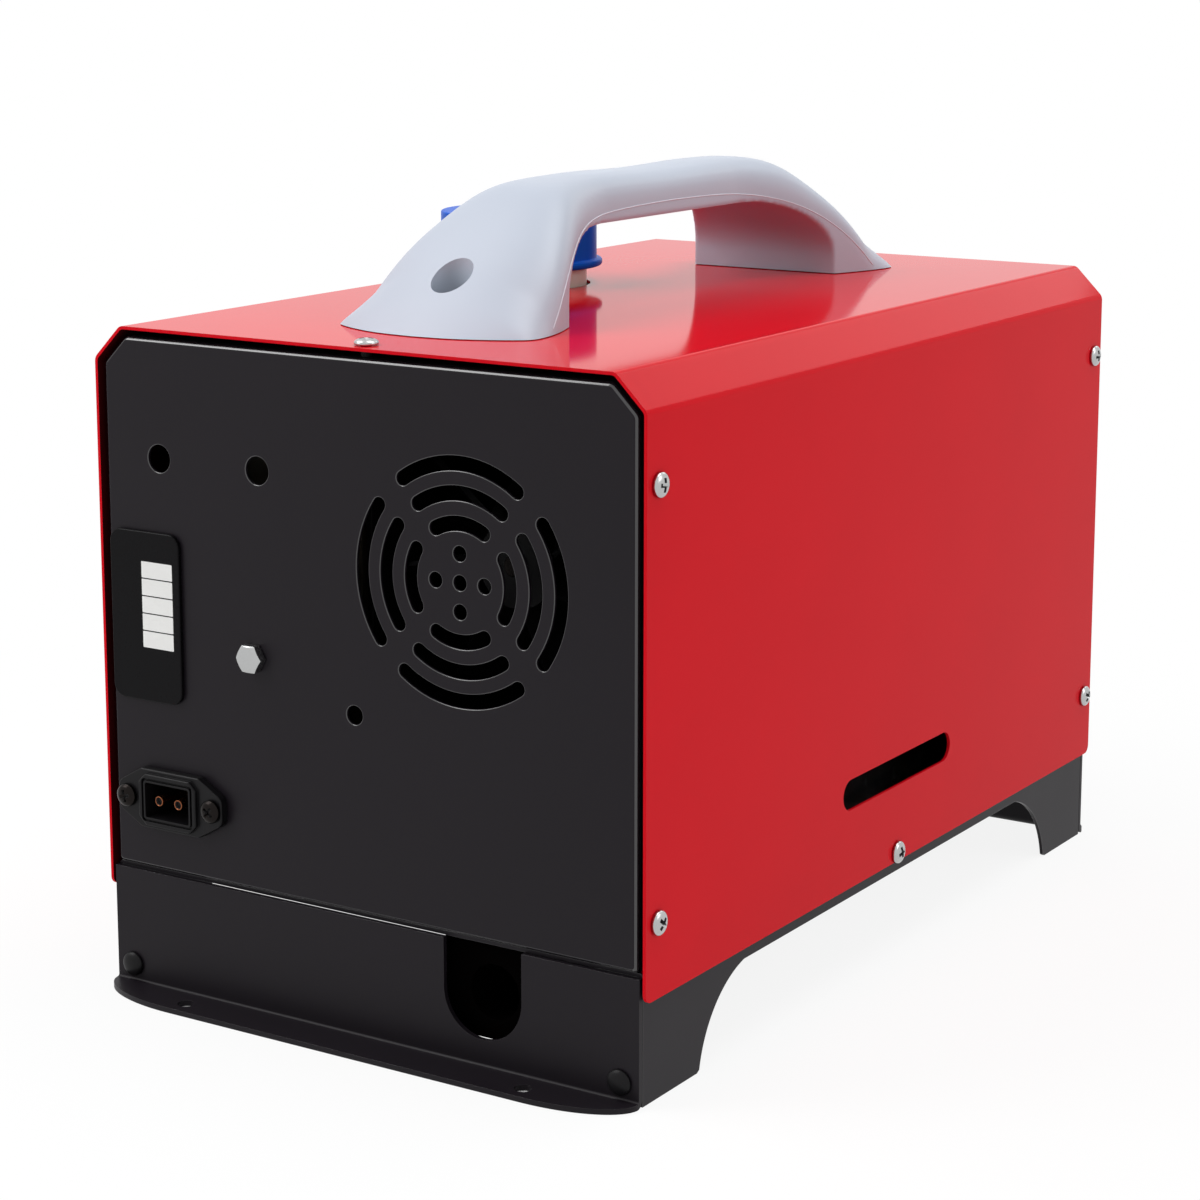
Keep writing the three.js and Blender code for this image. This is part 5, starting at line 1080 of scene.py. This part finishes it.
def make_cap():
    low, high = corners("fuel_cap")
    centre = (low + high) / 2
    height = high.z - low.z
    profile = rounded([
        (CAP_INNER_RADIUS, 0, 0.3),
        (CAP_RIM_RADIUS, 0, 1.2),
        (CAP_RIM_RADIUS, 3, 1.2),
        (CAP_RADIUS, 3, 0.5),
        (CAP_RADIUS, height, 0.8),
        (24, height, 0.8),
        (23, height - 1.2, 0.8),
        (0.5, height - 1.2, 0),
        (0.5, height - 3, 0),
        (CAP_INNER_RADIUS, height - 3, 0.5),
    ])
    cup = turned(profile, (centre.x, centre.y, low.z), "Z", 96, looped=True)
    bar = shrinking_rectangle(centre.x, centre.y, *CAP_GRIP)
    grip = softened(bar, "Z", high.z - 0.1, high.z - 3, 0.8)
    shade_by_angle(stand_in("cap_moulding", fused(cup, grip), "fuel_cap", None), 35)


def make_tank():
    """The neck over the roof, smooth where the tank's own solid has flat sides."""
    neck = middle("fuel_cap")
    top = corners("fuel_tank")[1].z
    roof = corners("outer_shell")[1].z
    profile = rounded([
        (NECK_INNER_RADIUS, roof - 5.5, 0),
        (NECK_RADIUS, roof - 5.5, 0.4),
        (NECK_RADIUS, roof + 1, 0.3),
        (NECK_RADIUS - 0.3, top, 0.4),
        (NECK_INNER_RADIUS, top, 0.3),
    ])
    collar = turned(profile, (neck.x, neck.y, 0), "Z", 96, looped=True)
    shade_by_angle(piece("neck_moulding", collar, "fuel_tank", None), 35)


# ---------- power inlet ----------
INLET_HALF_WIDTH = 25
INLET_HALF_HEIGHT = 11.5
INLET_SHOULDER = 13.8
INLET_TIP = 5
SHROUD_HALF_HEIGHT = 10
SHROUD_CORNER = 3.2
INLET_SCREW_REACH = 20.3
PIN_HOLE_RADIUS = 2.3
PIN_TIP_RADIUS = 1.42


def make_inlet():
    low, high = corners("inlet_body")
    x, z = (low.x + high.x) / 2, (low.z + high.z) / 2
    face, flange_back = low.y + 1.6, low.y + 5

    def flange(inset):
        tip, edge = INLET_HALF_WIDTH - inset, INLET_HALF_HEIGHT - inset
        ends = [(tip, INLET_TIP, 3.6), (INLET_SHOULDER, edge, 2.2)]
        lower = [(-u, -v, r) for u, v, r in ends] + [(u, -v, r) for u, v, r in ends[::-1]]
        upper = [(u, -v, r) for u, v, r in lower[::-1]]
        return rounded([(x + u, z + v, r) for u, v, r in lower + upper])

    def shroud(inset):
        side, edge = INLET_SHOULDER - inset, SHROUD_HALF_HEIGHT - inset
        ends = [(side, edge - SHROUD_CORNER), (side - SHROUD_CORNER, edge)]
        lower = [(-u, -v) for u, v in ends] + [(u, -v) for u, v in ends[::-1]]
        upper = [(u, -v) for u, v in lower[::-1]]
        return rounded([(x + u, z + v, 0.8) for u, v in lower + upper])

    housing = softened(flange, "Y", face, flange_back, 0.7)
    housing = fused(housing, softened(shroud, "Y", low.y, face + 1, 0.6))
    housing = fused(housing, prism(rectangle(x, z, 27.4, 19.8), "Y", face + 1, high.y))
    groove = prism(rectangle(x, z, 24.4, 16.8, 1.6), "Y", low.y - 1, low.y + 1.1)
    island = prism(rectangle(x, z, 22.6, 15.0, 1.2), "Y", low.y - 2, low.y + 2)
    housing = cut(housing, cut(groove, island))
    housing = cut(housing, prism(rectangle(x, z, 21, 13.5, 0.8), "Y", low.y - 1, low.y + 16))
    pins = [middle("inlet_pin_left").x, middle("inlet_pin_right").x]
    holes = [prism(circle(pin, z, PIN_HOLE_RADIUS, 24), "Y", low.y, high.y + 1) for pin in pins]
    for screw in (x - INLET_SCREW_REACH, x + INLET_SCREW_REACH):
        holes.append(prism(circle(screw, z, PIN_HOLE_RADIUS, 24), "Y", low.y - 1, flange_back + 1))
    stand_in("inlet_housing", cut(housing, *holes), "inlet_body", 0.12)
    for side, pin in zip(("left", "right"), pins):
        node = "inlet_pin_" + side
        front, back = corners(node)[0].y, corners(node)[1].y
        length = back - front
        hollow_tip = [(0.15, 1.6), (1.3, 1.6), (1.45, 0.15), (1.6, 0), (1.85, 0.1), (2, 0.5)]
        contact = turned([*hollow_tip, (2, length), (0.15, length)], (pin, front, z), "Y", 40)
        # The inside of each pin's hollow tip gets painted shade.
        for face in contact.polygons:
            off_axis = hypot(face.center.x - pin, face.center.z - z)
            if face.center.y < front + 2 and off_axis < PIN_TIP_RADIUS:
                face.material_index = 1
        finish = [FINISHES["copper"], PAINTED_SHADE_IN_RECESS]
        shade_by_angle(stand_in(node + "_turned", contact, node, None, finish), 40)


# ---------- warm-air outlet ----------
# Half the width of each louvre's blade.
LOUVRES = {"louvre_lower": 24.3, "louvre_middle": 36.1, "louvre_upper": 24.3}
RIB_COUNT = 36
RIB_REACH = 46.6
RIB_RADIUS = 0.4


def make_outlet():
    low, high = corners("outlet_collar")
    flange_back, flange_front = high.y - 2.5, high.y
    collar = rounded([
        (41.6, low.y, 0.3),
        (44, low.y, 0.3),
        (44, flange_back, 0),
        (52, flange_back, 0.4),
        (52, flange_front, 1.2),
        (41.6, flange_front, 0.4),
    ])
    collar = turned(collar, (BURNER_X, 0, BURNER_Z), "Y", 128, looped=True)
    shade_by_angle(stand_in("outlet_collar_moulding", collar, "outlet_collar", None), 35)
    low, high = corners("outlet_ring")
    bezel = high.y - 6
    ring = rounded([
        (37.6, low.y, 0.4),
        (41.2, low.y, 0.4),
        (41.2, bezel, 0.3),
        (47, bezel, 0.4),
        (47, high.y, 2.4),
        (39.5, high.y, 0.8),
        (37.6, high.y - 2.5, 0.6),
    ])
    ring = turned(ring, (BURNER_X, 0, BURNER_Z), "Y", 128, looped=True)
    ring = combined(ring, "UNION", grip_ribs(high.y))
    holes = []
    for node in LOUVRES:
        start, end = corners(node)
        z = middle(node).z
        holes.append(prism(circle((start.y + end.y) / 2, z, 1.8, 24), "X", start.x - 0.3, end.x + 0.3))
    shade_by_angle(stand_in("outlet_ring_moulding", cut(ring, *holes), "outlet_ring", None), 35)
    for node, blade_half in LOUVRES.items():
        make_louvre(node, blade_half)


def grip_ribs(front):
    """Small ribs round the bezel that the fingers turn it by."""
    ribs = []
    for angle in spokes(RIB_COUNT):
        x, z = BURNER_X + RIB_REACH * cos(angle), BURNER_Z + RIB_REACH * sin(angle)
        ribs.append(prism(circle(x, z, RIB_RADIUS, 8), "Y", front - 5.2, front - 2.2))
    return ribs


def make_louvre(node, blade_half):
    low, high = corners(node)
    y, z = (low.y + high.y) / 2, middle(node).z
    half = (high.x - low.x) / 2
    lower = [(-9, -0.5, 0.45), (0, -1.2, 6), (9, -0.5, 0.45)]
    upper = [(u, -v, r) for u, v, r in lower[::-1]]
    blade = rounded([(y + u, z + v, r) for u, v, r in lower + upper])
    vane = prism(blade, "X", BURNER_X - blade_half, BURNER_X + blade_half)
    pin = prism(circle(y, z, 1.5, 32), "X", BURNER_X - half, BURNER_X + half)
    stand_in(node + "_moulding", fused(vane, pin), node, 0.15)


# ---------- control panel ----------
def make_control_panel():
    low, high = corners("control_case")
    centre = (low + high) / 2
    bezel_back = high.y - 6
    window_low, window_high = corners("display_window")
    window = (window_low + window_high) / 2
    buttons = [middle(f"button_{use}") for use in ("down", "power", "up")]
    bezel = shrinking_rectangle(centre.x, centre.z, high.x - low.x, high.z - low.z, 7)
    case = softened(bezel, "Y", high.y, bezel_back, 1.6)
    case = fused(case, prism(rectangle(centre.x, centre.z, 68, 48, 2), "Y", low.y, bezel_back + 1))
    case = cut(case, prism(rectangle(centre.x, centre.z, 63.6, 43.6, 1), "Y", low.y - 1, high.y - 2.2))
    case = cut(
        case,
        prism(rectangle(window.x, window.z, 60.6, 27.6, 2.3), "Y", high.y - 1.5, high.y + 1),
        prism(rectangle(window.x, window.z, 56, 23, 1), "Y", low.y, high.y),
        *[prism(circle(b.x, b.z, 5.7, 48), "Y", low.y, high.y + 1) for b in buttons],
    )
    stand_in("control_case_moulding", case, "control_case", 0.15)
    glass = shrinking_rectangle(window.x, window.z, 60, 27, 2)
    pane = softened(glass, "Y", window_high.y, window_low.y, 0.3)
    stand_in("display_pane", pane, "display_window", None)
    for use, b in zip(("down", "power", "up"), buttons):
        node = f"button_{use}"
        start, end = corners(node)
        depth = end.y - start.y
        cap = rounded([
            (0.2, 0, 0),
            (6.5, 0, 0.2),
            (6.5, 3, 0.2),
            (5.4, 3, 0),
            (5.4, depth, 0.9),
            (4, depth - 0.35, 1),
            (0.2, depth - 0.5, 0),
        ])
        shade_by_angle(stand_in(node + "_cap", turned(cap, (b.x, start.y, b.z), "Y", 64), node, None), 40)


# ---------- nodes that are shown as they are ----------
def dress_nodes():
    """Gives the solids that no piece stands for their finish and slightly rounded edges."""
    for name, node in frame["nodes"].items():
        node.data.materials.clear()
        node.data.materials.append(HIDDEN_FINISHES.get(name, FINISHES[SLOT_OF[name]]))
        if not node.hide_render:
            soften_edges(node, 0.3)


# ---------- stage, in metres ----------
FLOOR_SIDE = 12
FLOOR_DROP = 0.0002
FLOOR_PALE = (0.9, 0.9, 0.9, 1)
WHITE = (1, 1, 1, 1)
WHITENED_NEAR = 0.88
WHITENING_STARTS = 0.2
WHITENING_RUN = 0.35
FLANGE_HALF_WIDTH = 0.095
FLANGE_STARTS = 0.188
FLANGE_ENDS = 0.201


def make_floor():
    """The pale floor, whitened for the camera except under the flanges, where it stays in shadow."""
    half = FLOOR_SIDE / 2
    mesh = bpy.data.meshes.new("floor")
    square = [(-half, -half, 0), (half, -half, 0), (half, half, 0), (-half, half, 0)]
    mesh.from_pydata(square, [], [(0, 1, 2, 3)])
    floor = bpy.data.objects.new("floor", mesh)
    floor.location.z = -FLOOR_DROP
    bpy.context.scene.collection.objects.link(floor)
    material = bpy.data.materials.new("white_floor")
    wiring = Wiring(material)
    away = wiring.node("VectorMath", {"operation": "LENGTH"}, wiring.place(), output="Value")
    far = ((away - WHITENING_STARTS) / WHITENING_RUN).at_least(0.0).at_most(1.0)
    apart = wiring.node("SeparateXYZ", None, wiring.place()).socket.node.outputs
    absolute = {"operation": "ABSOLUTE"}
    across, endways = [wiring.node("Math", absolute, Signal(wiring, apart[i])) for i in (0, 1)]
    beside, beyond = across.above(FLANGE_HALF_WIDTH), endways.above(FLANGE_ENDS)
    inside = 1 - endways.above(FLANGE_STARTS)
    clear_of_flange = (beside + inside + beyond).at_most(1.0)
    whitened = WHITENED_NEAR + far * (1 - WHITENED_NEAR)
    share = wiring.seen() * whitened * clear_of_flange
    matt = wiring.node("BsdfDiffuse", None, Color=FLOOR_PALE)
    bright = wiring.node("Emission", None, Color=WHITE, Strength=1.0)
    surface = wiring.node("MixShader", None, share, matt, bright)
    wiring.node("OutputMaterial", None, Surface=surface)
    mesh.materials.append(material)


def light_stage():
    world = bpy.data.worlds.new("studio")
    bpy.context.scene.world = world
    wiring = Wiring(world)
    strength = WORLD_LEVEL + (1.0 - WORLD_LEVEL) * wiring.seen()
    glow = wiring.node("Background", None, Color=WHITE, Strength=strength)
    wiring.node("OutputWorld", None, Surface=glow)
    for name, (place, aim, width, height, watts) in SOFTBOXES.items():
        add_softbox(name, place, aim, width, height, watts)


set_camera()
light_stage()
make_floor()
make_shell()
make_rear_panel()
make_front_panel()
make_base()
make_apron(-1, "rear_apron", True)
make_apron(1, "front_apron", False)
make_label()
make_screws()
make_tank_bolt()
make_handle()
make_cap()
make_tank()
make_inlet()
make_outlet()
make_control_panel()
dress_nodes()
bpy.context.scene.view_settings.view_transform = "Standard"
